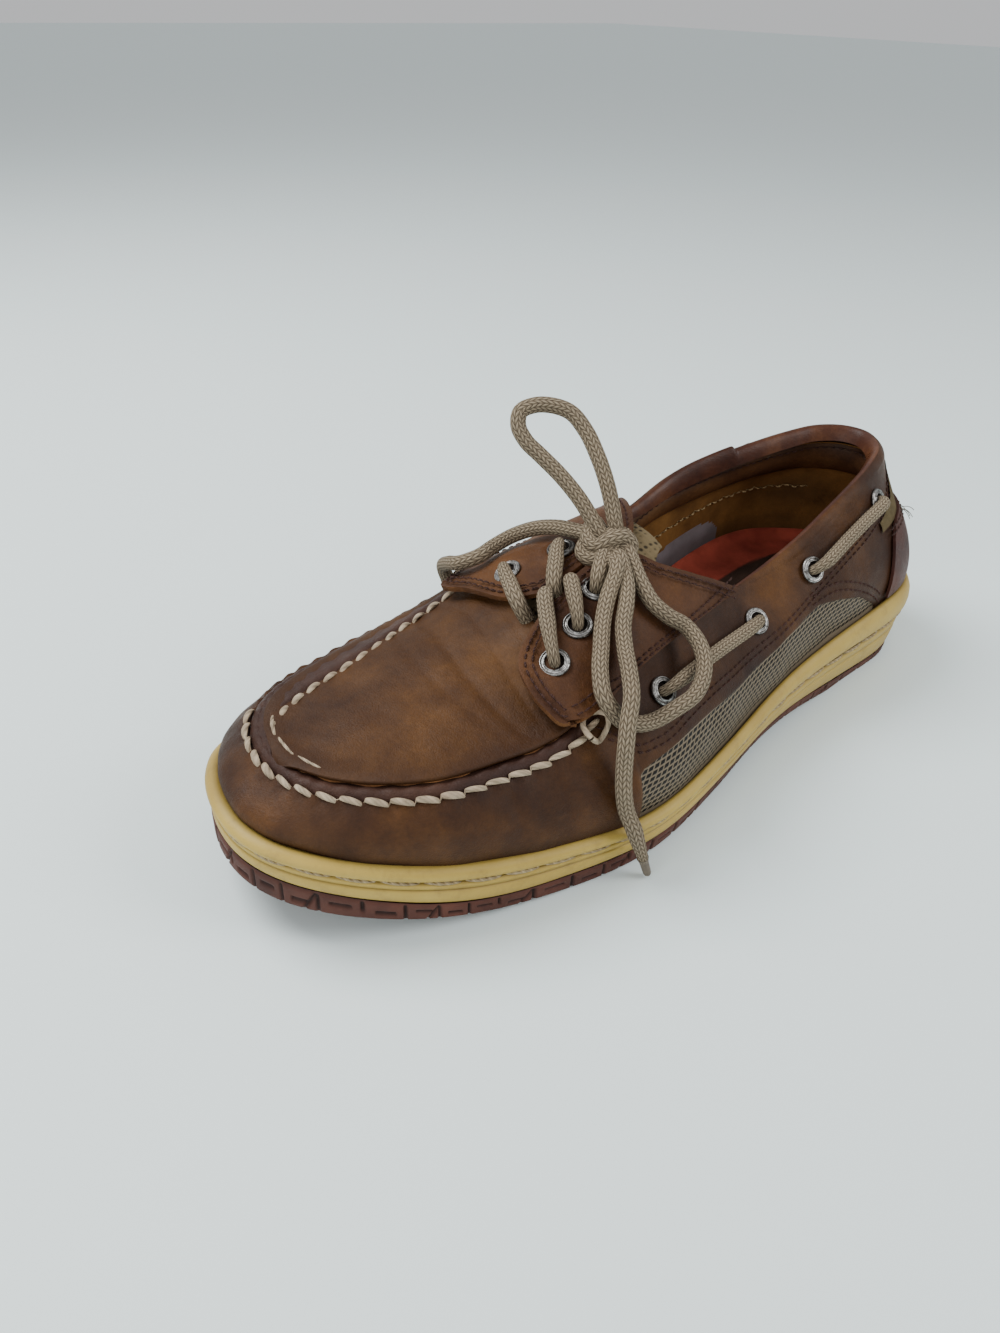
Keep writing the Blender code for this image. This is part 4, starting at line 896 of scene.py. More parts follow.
# Plug
# The flat leather of the toe, sewn to the ridge; its cut edge shows light tan.
PLUG_LEATHER = leather("plug_leather", (0.024, 0.0085, 0.0035), (0.056, 0.0215, 0.005),
                       (0.105, 0.044, 0.0105))
rows, share = grid_of((0.12, 12.0, 130), (0.0, 1.0, 90))
points = plug(rows, share)
edge_near = np.minimum(share, 1.0 - share)
seam_line = fold_end(np.linspace(0.322, 0.708, 240))
seam_near = np.linalg.norm(points[:, :, None] - seam_line[None, None], axis=-1).min(axis=-1)
lump = 0.0004 * noise(points, 0.05, 11) + 0.00014 * noise(points, 0.016, 12)
lift = lump * np.clip(edge_near * 12, 0, 1) + 0.0017 * np.exp(-(seam_near / 0.005)**2) + 0.0003
for row_at, depth, width in ((9.7, 0.0005, 0.22), (10.6, 0.0004, 0.16), (8.9, 0.0003, 0.2),
                             (11.3, 0.0003, 0.14)):
    bend = row_at + 0.35 * np.sin(share * 5.0 + row_at)
    lift = lift - depth * np.exp(-((rows - bend) / width)**2) * np.clip(edge_near * 5, 0, 1)
plug_piece = grid_piece("plug", raised(plug, rows, share, lift), PLUG_LEATHER,
                        layers={"wear_and_shade": 0.35 * np.exp(-(seam_near / 0.006)**2)})
thicken(plug_piece, 0.0018)
RAW_EDGE = leather("raw_edge", (0.06, 0.024, 0.01), (0.14, 0.058, 0.019), (0.23, 0.105, 0.038), 0.85,
                   0.0004, 90.0)
levels, places = grid_of((0.0, 1.0, 6), (0.33, 0.578, 900))
ragged = 0.00035 * noise(fold_end(places), 0.006, 71)
points = (fold_end(places) - edge_out(places) * (0.0021 * levels - 0.0009 + ragged)[..., None]
          + UP * (0.0022 + 0.0005 * np.sin(math.pi * levels) + ragged)[..., None])
raw = grid_piece("plug_raw_edge", points, RAW_EDGE)

# Seam on the inner side
# On the inner side the fold of the moccasin seam lies further in, over the plug's edge.
def fold_share(row):
    """How far the dark fold reaches over the plug on the inner side."""
    reach = 0.15 * smooth_step(row, 0.2, 1.6) * (1.0 - 0.55 * smooth_step(row, 7.0, 12.5))
    return reach * (1.0 - smooth_step(row, 12.9, 13.3))


rows, part = grid_of((0.2, 13.0, 260), (0.0, 1.0, 10))
share = 1.0 - fold_share(rows) * part
lift = 0.0014 + 0.0018 * np.clip((1.0 - part) * 6, 0.0, 1.0)**0.5
lift = lift + 0.0002 * np.cos(rows * 9.0) * (1.0 - part)
points = raised(plug, rows, share, lift)
places = row_size("inner", rows[:, :1])
crown = top_of(places) - edge_out(places) * (SEAM_FOLD * 0.45) + UP * (SEAM_RISE * 0.8)
flap = grid_piece("seam_flap", np.concatenate([crown, points], axis=1), DARK_LEATHER)


# Threads
# Thick off-white waxed thread, hand sewn, along the moccasin seam; fine dark brown thread in
# double rows on the stays and panels. Each row is one thread that dives under between stitches.
def thread_material(name, colour, shade, twist):
    paint = Paint(name, 0.75, 0.3)
    along = paint.times(paint.read("along"), 2 * math.pi / twist)
    ply = paint.number("SINE", paint.number("ADD", along,
                                            paint.times(paint.read("around"), 2 * math.pi * 2)))
    tint = paint.mix(paint.ramp(paint.noise(120.0, 4.0, 0.7), (0.35, 0.0), (0.75, 0.7)), colour, shade)
    # Painted shade: the ply ramp darkens the grooves between the twisted plies.
    paint.give("Base Color", paint.shade(0.7, tint, ply, (0.0, 0.78), (0.6, 1.08)))
    paint.give("Normal", paint.bump(ply, 0.00022))
    return paint


WHITE_THREAD = thread_material("white_thread", (0.46, 0.37, 0.26), (0.2, 0.135, 0.08), 0.0042)
DARK_THREAD = thread_material("dark_thread", (0.07, 0.026, 0.018), (0.03, 0.012, 0.01), 0.0009)


def thread(name, line, normal, pitch, gap, width, height, paint, sway=0.0, sides=6, dive=1.0, every=10):
    """A sewn thread: stitches of oval section that lie on a surface, sunk between them."""
    walked = walked_along(line)
    count = max(1, round(walked[-1] / pitch))
    at = np.linspace(0.0, walked[-1], count * every + 1)
    line = read_along(line, walked, at)
    normal = unit(read_along(normal, walked, at))
    side = unit(np.cross(unit(np.gradient(line, axis=0)), normal))
    stitch = at / (walked[-1] / count)
    phase = np.mod(stitch, 1.0)
    shown = np.clip(phase / (1.0 - gap), 0.0, 1.0)
    swell = np.where(phase < 1.0 - gap, np.sin(math.pi * shown) ** 0.45, 0.0)
    sunk = np.where(phase < 1.0 - gap, 0.0, 1.0)
    line = line + normal * ((swell - 0.55) * height * 1.5 - sunk * dive * height)[:, None]
    line = line + side * ((shown - 0.5) * sway)[:, None]
    sizes = np.random.default_rng(count).uniform(0.84, 1.12, count + 1)
    vary = sizes[np.minimum(count, stitch.astype(int))]
    angle = np.linspace(0, 2 * math.pi, sides + 1)
    points = swept(line, side, normal, angle, width, height, (0.35 + 0.65 * swell) * vary)
    return grid_piece(name, points, paint, layers=way_layers(angle, at))


def dark_row(name, line, normal, height=0.00028):
    """A row of small dark stitches."""
    thread(name, line, normal, 0.003, 0.22, 0.00034, height, DARK_THREAD)


def wall_line(side, knots, shift=0.0, height=0.0, count=400):
    """A line over a side wall through (row, share up the wall), moved up by metres."""
    rows = np.linspace(knots[0][0], knots[-1][0], count)
    places = row_size(side, rows)
    shares = through([k[0] for k in knots], [k[1] for k in knots], rows) + shift / wall_length(places)
    relief = wall_relief(places, shares)
    return wall_over(places, shares, relief + height), wall_out(places, shares)


# cross row, share up the wall
PANEL_SEAM = (
    (11.9, 0.9), (12.4, 0.72), (13.0, 0.557), (14.0, 0.485), (16.2, 0.505), (18.7, 0.52), (21.8, 0.54),
    (24.0, 0.615), (26.3, 0.685), (28.3, 0.76), (29.3, 0.86),
)
PANEL_END = ((22.9, 0.535), (23.4, 0.52), (23.9, 0.485), (24.9, 0.35), (25.9, 0.17), (26.5, 0.04))
for side in ("outer", "inner"):
    for number, shift in ((1, -0.0012), (2, 0.0012)):
        for seam, knots, reach in (("panel_seam_", PANEL_SEAM, 1.0), ("panel_end_", PANEL_END, 1.3)):
            line, normal = wall_line(side, knots, shift * reach, 0.0001)
            dark_row(seam + side + "_" + str(number), line, normal, 0.00026)
SEAM_PITCH = 0.0071
places = np.linspace(0.331, 0.56, 900)
line = wall_over(places, 0.985, 0.001) + UP * 0.0002
normal = unit(wall_out(places, 0.96) + UP * 0.5)
thread("seam_stitches_outer", line, normal, SEAM_PITCH, 0.03, 0.00105, 0.0009, WHITE_THREAD, 0.0013, 10,
       0.6, 16)
rows = np.linspace(0.9, 11.6, 500)
share = 1.0 - fold_share(rows) - 0.006
line = raised(plug, rows, share, 0.002)
normal = normal_of(plug, rows, share)
thread("seam_stitches_inner", line, normal, SEAM_PITCH, 0.03, 0.001, 0.0009, WHITE_THREAD, -0.0012, 10, 0.6,
       16)
places = np.linspace(0.466, 0.546, 300)
line = fold_end(places) - edge_out(places) * 0.0016 + UP * 0.0038
thread("seam_thread_toe", line, UP + 0.0 * line, 0.011, 0.04, 0.00055, 0.00045, WHITE_THREAD, 0.0006, 8,
       0.4, 16)

# Eyestays
# Two pointed leather stays over the tongue. Their cut edges are raw and lighter, and a double
# row of dark thread runs along them. They are held by the lace and sewn to the quarters.
# cross row, share across from the side's own edge
OUTER_STAY_FOOT = (
    (11.2, 0.03), (12.1, 0.0), (13.0, -0.04), (14.6, -0.055), (16.1, -0.045), (18.0, -0.02), (19.6, 0.01),
)
OUTER_STAY_HEAD = (
    (11.2, 0.03), (10.65, 0.05), (10.44, 0.11), (10.46, 0.197), (10.68, 0.268), (11.53, 0.338),
    (12.3, 0.356), (13.2, 0.362), (14.4, 0.376), (15.5, 0.372), (16.0, 0.33), (16.75, 0.213), (17.6, 0.14),
    (18.6, 0.07), (19.6, 0.01),
)
INNER_STAY_FOOT = (
    (11.35, 0.125), (12.1, 0.06), (13.0, -0.01), (14.6, -0.05), (16.1, -0.045), (18.0, -0.02), (19.6, 0.01),
)
INNER_STAY_HEAD = (
    (11.35, 0.125), (11.15, 0.15), (11.15, 0.2), (11.35, 0.27), (11.52, 0.36), (11.78, 0.455),
    (12.3, 0.545), (12.8, 0.596), (13.6, 0.602), (15.1, 0.598), (16.7, 0.585), (17.3, 0.5), (17.9, 0.38),
    (18.6, 0.23), (19.6, 0.01),
)
STAY_TAN = leather("stay_leather", (0.03, 0.01, 0.0045), (0.074, 0.028, 0.0085), (0.132, 0.053, 0.015),
                   0.55)


def outline(points, count):
    """Evenly spaced (row, share) along an outline, with shares counted as wide as rows."""
    flat = np.array(points) * np.array([1.0, 12.0])
    steps = np.linalg.norm(np.diff(flat, axis=0), axis=1)
    walked = np.concatenate([[0.0], np.cumsum(steps)]) / steps.sum()
    at = np.linspace(0.0, 1.0, count)
    return np.stack([through(walked, [p[k] for p in points], at) for k in (0, 1)], axis=1)


def make_stay(name, side, foot, head, eyelets):
    low = outline(foot, 150)
    high = outline(head, 150)
    part = np.linspace(0.0, 1.0, 44)[:, None, None]
    grid = low[None] * (1 - part) + high[None] * part
    rows, shares = grid[..., 0], grid[..., 1]
    plain = stay_over(side, rows, shares, 0.0)
    inward = np.linalg.norm(plain - plain[-1:], axis=-1)
    soft = 0.0004 * noise(plain, 0.03, 21 + side) + 0.00012 * noise(plain, 0.011, 25)
    curl = 0.0007 * np.exp(-(inward / 0.004)**2)
    dent = 0.0
    for row, share in eyelets:
        distance = np.linalg.norm(plain - stay_over(side, row, share, 0.0), axis=-1)
        dent = dent + 0.0003 * np.exp(-((distance - 0.0062) / 0.0016)**2)
    stay = grid_piece(name + "_leather", stay_over(side, rows, shares, soft + curl + dent), STAY_TAN,
                      layers={"wear_and_shade": 0.3 * np.exp(-(inward / 0.003)**2)})
    thicken(stay, STAY_LEATHER, 1.0 if stay.data.polygons[2000].normal.z > 0 else -1.0, 0.0005)
    stay.data.materials.append(RAW_EDGE.material)
    stay.modifiers["thickness"].material_offset_rim = 1
    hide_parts(name)
    edge = outline(head, 700)
    centre = np.array([(edge[:, 0].min() + edge[:, 0].max()) / 2 - 1.0, 0.1])
    line = stay_over(side, edge[:, 0], edge[:, 1], STAY_LEATHER)
    normal = normal_of(saddle, edge[:, 0], own_share(side, edge[:, 1]))
    inside = unit(np.cross(normal, unit(np.gradient(line, axis=0))))
    middle = stay_over(side, centre[0], centre[1], STAY_LEATHER)
    inside *= np.sign(np.sum(inside * (middle - line), axis=1).mean())
    for number, inset in ((1, 0.0022), (2, 0.0044)):
        path = line + inside * inset + normal * 0.001
        dark_row(name + "_stitches_" + str(number), path[12:-10], normal[12:-10])
    edge = outline(foot, 500)
    normal = normal_of(saddle, edge[:, 0], own_share(side, edge[:, 1]))
    for number, inset in ((1, 0.0016), (2, 0.004)):
        path = stay_over(side, edge[:, 0], edge[:, 1] + inset * 11, STAY_LEATHER + 0.0004)
        dark_row(name + "_foot_stitches_" + str(number), path[6:-6], normal[6:-6])


make_stay("eyestay_outer", 1, OUTER_STAY_FOOT, OUTER_STAY_HEAD, OUTER_STAY_EYELETS)
make_stay("eyestay_inner", -1, INNER_STAY_FOOT, INNER_STAY_HEAD, INNER_STAY_EYELETS)

# Eyelets
# Fourteen plain nickel eyelets, each with a domed flange, a flat ring and a short barrel that
# is rolled over behind the leather. A near-black disc in each hole is painted shade for the hole's depth.
metal = Paint("nickel", 0.3, 0.5, 1.0)
wear = metal.noise(900.0, 4.0, 0.7)
metal.give("Base Color", metal.ramp(wear, (0.36, (0.07, 0.066, 0.06)), (0.62, (0.4, 0.392, 0.378))))
metal.give("Roughness", metal.ramp(wear, (0.3, 0.5), (0.7, 0.28)))
# Painted shade: a near-black material for the discs that stand for the inside of each hole.
HOLE_SHADE = Paint("dark_hole", 0.95, 0.1)
hole_shade_colour = HOLE_SHADE.ramp(HOLE_SHADE.noise(700.0), (0.3, (0.006, 0.004, 0.004)),
                             (0.7, (0.018, 0.012, 0.01)))
HOLE_SHADE.give("Base Color", hole_shade_colour)
HOLE_RADIUS = 0.0036
# distance from the axis and height, in metres
EYELET_PROFILE = (
    (0.0027, -0.0026), (0.0028, 0.0002), (0.0029, 0.001), (0.0031, 0.0013), (0.0033, 0.0012),
    (0.0034, 0.0008), (0.0041, 0.0008), (0.0042, 0.001), (0.0044, 0.001), (0.0047, 0.0006),
    (0.0048, 0.0001), (0.0046, -0.0001), (0.0038, -0.0001),
)


def make_eyelet(name, centre, axis):
    mesh = bmesh.new()
    verts = [mesh.verts.new((radius, 0.0, height)) for radius, height in EYELET_PROFILE]
    for first, second in zip(verts[:-1], verts[1:]):
        mesh.edges.new((first, second))
    bmesh.ops.spin(mesh, geom=mesh.verts[:] + mesh.edges[:], cent=(0, 0, 0), axis=(0, 0, 1),
                   angle=2 * math.pi, steps=32, use_merge=True)
    bmesh.ops.remove_doubles(mesh, verts=mesh.verts, dist=1e-6)
    bmesh.ops.recalc_face_normals(mesh, faces=mesh.faces)
    turn = Vector((0.0, 0.0, 1.0)).rotation_difference(Vector(axis)).to_matrix().to_4x4()
    bmesh.ops.transform(mesh, matrix=Matrix.Translation(Vector(centre)) @ turn, verts=mesh.verts)
    piece = mesh_piece(name + "_ring", mesh, metal)
    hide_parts(name)
    # A near-black disc just over the eyelet's base, painted shade for the hole's depth.
    hole = bmesh.new()
    place = Matrix.Translation(Vector(centre) + Vector(axis) * 0.00012) @ turn
    bmesh.ops.create_circle(hole, cap_ends=True, segments=24, radius=HOLE_RADIUS, matrix=place)
    mesh_piece(name + "_hole", hole, HOLE_SHADE, False)


for side, side_name, places in STAYS:
    for i, (row, share) in enumerate(places):
        axis = normal_of(saddle, np.array(row), np.array(own_share(side, share)))
        centre = stay_over(side, row, share, STAY_LEATHER + 0.0003)
        make_eyelet("eyelet_stay_" + side_name + "_" + str(i + 1), centre, axis)
for side_name, places in WALLS:
    for i, (row, share) in enumerate(places):
        place = row_size(side_name, row)
        name = "eyelet_wall_" + side_name + "_" + str(i + 1)
        make_eyelet(name, wall_over(place, share, 0.0004), wall_out(place, share))

# Tongue
# Padded tongue under the stays; behind them its edge of khaki spacer mesh shows.
tongue_cloth = Paint("tongue_cloth", 0.9, 0.2)
dots = tongue_cloth.tree.nodes.new("ShaderNodeTexVoronoi")
dots.feature = "F1"
dots.inputs["Scale"].default_value = 420.0
dots.inputs["Randomness"].default_value = 0.15
spot = dots.outputs["Distance"]
place_node = tongue_cloth.tree.nodes.new("ShaderNodeTexCoord")
tongue_cloth.put(place_node.outputs["Object"], dots.inputs["Vector"])
# Painted shade: the dark dots are the spacer mesh's holes.
weave = tongue_cloth.ramp(spot, (0.22, (0.03, 0.022, 0.012)), (0.42, (0.15, 0.112, 0.058)))
tongue_cloth.give("Base Color", weave)
tongue_cloth.give("Normal", tongue_cloth.bump(spot, 0.0006))
rows, across = grid_of((10.8, 17.7, 110), (0.2, 0.8, 60))
blend = np.clip((rows - 12.4) / 1.2, 0.0, 1.0)
end = np.minimum(1.0, (17.7 - rows) / 0.45)
depth = 0.0026 - 0.002 * blend - 0.0003 * noise(plug(rows, across), 0.03, 31) + 0.001 * (1 - end)**2
shape = across + (0.5 - across) * 0.3 * smooth_step(rows, 16.4, 17.7)
tongue = grid_piece("tongue_pad", raised(plug, rows, shape, -depth), tongue_cloth)
thicken(tongue, 0.0028, -1.0 if tongue.data.polygons[3000].normal.z > 0 else 1.0, 0.0009)
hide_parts("tongue")

# Inside
# Footbed in the sole's cup, dark brown with a red raised edge; tan suede lining on the wall with
# two rows of light zigzag stitching and a grey patch at the arch; padded collar band on top.
def suede(name, dark, light, scale=60.0):
    """Napped leather or cloth; its colour is returned too, for what is mixed into it."""
    paint = Paint(name, 0.92, 0.15)
    colour = paint.ramp(paint.noise(scale, 5.0, 0.65), (0.28, dark), (0.72, light))
    fuzz = paint.noise(2600.0, 2.0, 0.7)
    colour = paint.shade(0.6, colour, fuzz, (0.25, 0.72), (0.75, 1.22))
    paint.give("Base Color", colour)
    paint.give("Normal", paint.bump(fuzz, 0.00016))
    return paint, colour


lining_cloth, tan = suede("lining_suede", (0.1, 0.044, 0.012), (0.26, 0.125, 0.034))
grey = lining_cloth.ramp(lining_cloth.noise(80.0), (0.3, (0.15, 0.13, 0.135)), (0.7, (0.235, 0.205, 0.215)))
patch = lining_cloth.number("GREATER_THAN", lining_cloth.read("patch"), 0.5)
tan = lining_cloth.mix(patch, tan, grey)
lining_cloth.give("Base Color", lining_cloth.mix(lining_cloth.read("darkening"), tan, (0.03, 0.017, 0.01)))
LINING_THREAD = thread_material("lining_thread", (0.52, 0.38, 0.19), (0.3, 0.18, 0.08), 0.0012)
share, place = grid_of((0.0, 0.9, 34), (0.0, 1.0, 520))
inset = 0.0021 + 0.0003 * noise(wall(place, share), 0.04, 41) + 0.0004 * smooth_step(share, 0.5, 0.62)
points = wall_over(place, share, -inset)
drop = sole_point(place[:1], sole_size("lip", place[:1]) + 0.0024, sole_size("seat", place[:1]) + 0.0012)
seat_line = sole_point(place[:1], sole_size("lip", place[:1]) + 0.0023, sole_size("rim", place[:1]) - 0.001)
near_patch = ((place - 0.868) / 0.034)**2 + ((share - 0.02) / 0.17)**2
heel_wear = (np.exp(-((place - 0.955) / 0.03)**2 - ((share - 0.3) / 0.22)**2)
             + np.exp(-((place - 0.03) / 0.03)**2 - ((share - 0.3) / 0.25)**2))
# Darker in two patches at the back of the heel and towards the bottom of the lining.
darkening = np.clip(0.62 * heel_wear + 0.35 * smooth_step(0.1 - share, 0.0, 0.1), 0, 0.8)
layers = {"patch": (near_patch < 1.0).astype(float), "darkening": darkening}
layers = {key: np.concatenate([value[:1], value[:1], value]) for key, value in layers.items()}
grid_piece("lining", np.concatenate([drop, seat_line, points]), lining_cloth, close=True, layers=layers)
for number, level in ((1, 0.6), (2, 0.34)):
    places = np.linspace(0.8, 0.965, 900)
    zigzag = 2 * np.abs(np.mod(places * 160, 2) - 1) - 1
    shares = level + 0.05 * np.sin((places - 0.8) * 17) + 0.012 * zigzag
    line = wall_over(places, shares, -0.0026)
    normal = -wall_out(places, shares)
    thread("lining_zigzag_" + str(number), line, normal, 0.0034, 0.3, 0.00042, 0.0003, LINING_THREAD)

footbed, brown = suede("footbed", (0.016, 0.01, 0.008), (0.058, 0.032, 0.022), 45.0)
red = footbed.ramp(footbed.noise(90.0, 4.0), (0.3, (0.23, 0.04, 0.026)), (0.7, (0.43, 0.08, 0.05)))
footbed.give("Base Color", footbed.mix(footbed.read("rim"), brown, red))
rows, across = grid_of((0.0, LAST_ROW, 180), (0.0, 1.0, 64))
ends = []
for side in ("outer", "inner"):
    places = row_size(side, rows)
    ends.append(sole_point(places, sole_size("lip", places) + 0.003, sole_size("seat", places) + 0.0036))
points = ends[0] * (1 - across[..., None]) + ends[1] * across[..., None]
rim_distance = np.minimum(np.linalg.norm(points - ends[0], axis=-1),
                          np.linalg.norm(points - ends[1], axis=-1))
rim_distance = np.minimum(rim_distance, np.minimum(rows, LAST_ROW - rows) * 0.009)
heel_dip = 0.001 * np.exp(-(((rows - 28.5) / 2.5)**2)) * np.sin(math.pi * across)
height = 0.0034 * np.exp(-(rim_distance / 0.0042)**2) - heel_dip
band = np.where(across > 0.5, 0.019, 0.009)
rim = 1.0 - smooth_step(rim_distance, band - 0.0006, band + 0.0004)
bed = grid_piece("footbed", points + UP * height[..., None], footbed, layers={"rim": rim})
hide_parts("insole")
collar_dark = leather("collar_band_leather", (0.028, 0.011, 0.006), (0.07, 0.03, 0.012),
                      (0.12, 0.056, 0.02), 0.48, 0.00012, 40.0)
levels, places = grid_of((0.0, 1.0, 14), (-0.208, 0.21, 300))
inset = 0.0026 + 0.0026 * np.sin(math.pi * levels)**0.6
points = wall_over(places, 0.6 + 0.29 * levels, -inset)
collar = grid_piece("collar_band", points, collar_dark)
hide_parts("collar_lining")
line = wall_over(places[0], 0.885, -0.005)
normal = -wall_out(places[0], 0.885)
thread("collar_band_stitches", line, normal, 0.0032, 0.3, 0.0003, 0.00026, DARK_THREAD)

# Heel
# A purplish leather counter over the back of the wall and, between it and the collar, an inset of
# khaki cloth right round the heel, with a few frayed threads where the cloth meets the counter.
COUNTER_LEATHER = leather("counter_leather", (0.03, 0.011, 0.009), (0.068, 0.024, 0.017),
                          (0.12, 0.05, 0.028), 0.5)
# shares of the way round and of the wall's height
HEEL_REACH = 0.104
COUNTER_FOOT = 0.03
COUNTER_TOP = 0.6
CLOTH_FOOT = 0.58
levels, across = grid_of((0.0, 1.0, 30), (-1.0, 1.0, 200))
high = COUNTER_FOOT + 0.57 * (1.0 - np.abs(across)**14)
shares = COUNTER_FOOT + (high - COUNTER_FOOT) * levels
soft = 0.0003 * noise(wall(across * 0.09, shares), 0.03, 51)
counter = grid_piece("counter_leather", wall_over(across * HEEL_REACH, shares, 0.0005 + soft),
                     COUNTER_LEATHER,
                     layers={"wear_and_shade": 0.5 * smooth_step(0.12 - shares, 0.0, 0.1)})
facing = np.dot(counter.data.polygons[100].normal, wall_out(0.0, 0.3))
thicken(counter, 0.0012, math.copysign(1.0, facing), 0.0004)
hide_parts("heel_counter")
places = np.linspace(-0.94, 0.94, 500) * HEEL_REACH
for number, below in ((1, 0.04), (2, 0.085)):
    line = wall_over(places, COUNTER_TOP - below, 0.0018)
    dark_row("counter_stitches_" + str(number), line, wall_out(places, COUNTER_TOP - below))
khaki = suede("khaki_cloth", (0.06, 0.044, 0.02), (0.135, 0.102, 0.05), 120.0)[0]
levels, places = grid_of((0.0, 1.0, 22), (-HEEL_REACH, HEEL_REACH, 160))
top = np.interp(np.abs(places), (0.0, 0.05, 0.073, HEEL_REACH), (0.93, 0.92, 0.735, 0.665))
lift = 0.0005 + 0.0003 * np.sin(math.pi * levels)
inset_piece = grid_piece("heel_cloth", wall_over(places, CLOTH_FOOT + (top - CLOTH_FOOT) * levels, lift),
                         khaki)
spin = np.random.default_rng(8)
for number in range(7):
    start = wall_over(0.066 + 0.002 * spin.normal(), 0.585 + 0.012 * spin.normal(), 0.0012)
    push = np.array([0.0014, 0.0022, -0.0012]) + 0.001 * spin.normal(size=3)
    path = [start, start + push * 0.6 + UP * 0.0006, start + push * 1.2, start + push * 1.6 - UP * 0.0012]
    strand_piece = tube_piece("frayed_thread_" + str(number), path, 0.00013, khaki, 5, 0.0006)[0]

# Sole
# A yellow rubber cup, sewn through its groove with light twisted thread, over a brown outsole
# with a cut pattern on its edge and wave-cut tread.
UNDER = (0.02, 0.1, 0.062, 0.06, 0.02, 0.0, 0.0)


def side_point(place, inset, height):
    """A point of the sole's side, which leans inwards below the cup's floor."""
    place, inset, height = np.broadcast_arrays(np.array(place, float), inset, height)
    under = through([row[0] for row in SOLE], UNDER, length_share(place)) * BALL_WIDTH / 2
    tread = tread_height(place)
    drop = np.maximum(0.0, 1.0 - (height - tread) / (sole_size("seat", place) - tread))
    return sole_point(place, inset + under * drop, height)


def rubber_paint(name, roughness, specular, tone, recess_shade, fine, grain):
    """Rubber of an uneven tone, painted darker as shade where the mesh's layer marks grooves, cuts and
    tucked-in edges.
    """
    paint = Paint(name, roughness, specular)
    scale, detail, rough, dark, light = tone
    colour = paint.ramp(paint.noise(scale, detail, rough), (0.3, dark), (0.7, light))
    if name == "cup_rubber":
        grime = paint.ramp(paint.noise(95.0, 6.0, 0.75), (0.52, 0.0), (0.8, 0.55))
        colour = paint.mix(grime, colour, (0.17, 0.105, 0.034))
    # Painted shade: mixes towards the darker colour where the mesh's layer marks recesses.
    paint.give("Base Color", paint.mix(paint.read("wear_and_shade"), colour, recess_shade))
    paint.give("Normal", paint.bump(paint.noise(fine, 4.0), grain))
    return paint


rubber = rubber_paint("cup_rubber", 0.52, 0.4, (22.0, 5.0, 0.6, (0.33, 0.215, 0.038), (0.45, 0.315, 0.066)),
                      (0.04, 0.024, 0.01), 700.0, 0.00012)
# share of the height over the parting line, inset in metres, and painted shade: darkest in the grooves and
# at the edges where the rubber tucks in
CUP_PROFILE = (
    (0.0, 0.001, 0.9), (0.03, 0.0005, 0.5), (0.08, 0.0002, 0.1), (0.2, 0.0001, 0.0), (0.32, 0.0002, 0.0),
    (0.362, 0.0004, 0.1), (0.378, 0.0016, 1.3), (0.396, 0.0016, 1.3), (0.41, 0.0005, 0.2),
    (0.48, 0.0005, 0.0), (0.54, 0.0006, 0.1), (0.56, 0.0014, 0.7), (0.58, 0.002, 0.9), (0.62, 0.002, 0.9),
    (0.645, 0.0014, 0.8), (0.665, 0.0004, 0.2), (0.72, -0.0004, 0.0), (0.8, -0.0006, 0.0),
    (0.88, -0.0003, 0.0), (0.94, 0.0005, 0.0), (0.98, 0.0014, 0.1), (1.0, 0.0024, 0.4),
)
SIDE_STATIONS = 960
place = np.linspace(0.0, 1.0, SIDE_STATIONS + 1)
parting = sole_size("parting", place)
rim = sole_size("rim", place)
waist = np.exp(-((place - 0.19) / 0.1)**2) + np.exp(-((place - 0.84) / 0.1)**2)
waist = np.clip(waist + np.exp(-(np.mod(place + 0.5, 1.0) - 0.5)**2 / 0.006), 0.0, 1.0)
lines = []
recess_shade = []
for level, inset, dark in CUP_PROFILE:
    fade = 1.0
    # At the waist the groove is shallower and its painted shade fainter.
    if 0.36 < level < 0.42:
        fade = 1.0 - 0.85 * waist
        inset = 0.0004 + (inset - 0.0004) * fade
    wobble = 0.00012 * noise(on_edge(EDGE, place) + UP * level * 0.02, 0.03, 61)
    lines.append(side_point(place, inset + wobble, parting + (rim - parting) * level))
    recess_shade.append(dark * fade + 0.0 * place)
# Two lines run inwards and down inside the cup's lip, painted dark as shade.
for extra, level, dark in ((0.0, -0.0006, 0.8), (0.0, -0.01, 0.9)):
    lines.append(sole_point(place, sole_size("lip", place) + extra,
                            np.maximum(rim + level, sole_size("seat", place))))
    recess_shade.append(dark + 0.0 * place)
cup = grid_piece("cup", np.array(lines), rubber, close=True, layers={"wear_and_shade": np.array(recess_shade) * 0.62})
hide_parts("midsole")
SOLE_THREAD = thread_material("sole_thread", (0.4, 0.31, 0.175), (0.19, 0.13, 0.06), 0.0026)
at = np.linspace(0.0, 1.0, 2600)
low = sole_size("parting", at)
line = side_point(at, 0.001, low + (sole_size("rim", at) - low) * 0.6)
thread("sole_stitches", line, edge_out(at), 0.0124, 0.05, 0.00062, 0.0006, SOLE_THREAD, 0.0004, 8, 1.6, 24)
outsole_rubber = rubber_paint("outsole_rubber", 0.68, 0.3,
                              (50.0, 5.0, 0.65, (0.045, 0.014, 0.009), (0.1, 0.033, 0.021)),
                              (0.012, 0.007, 0.006), 800.0, 0.00014)
place = np.linspace(0.0, 1.0, 1801)
levels = np.linspace(0.0, 1.0, 15)
tread = tread_height(place)
top = sole_size("parting", place) - 0.0002
run = place * GIRTH
lines = []
dark = []
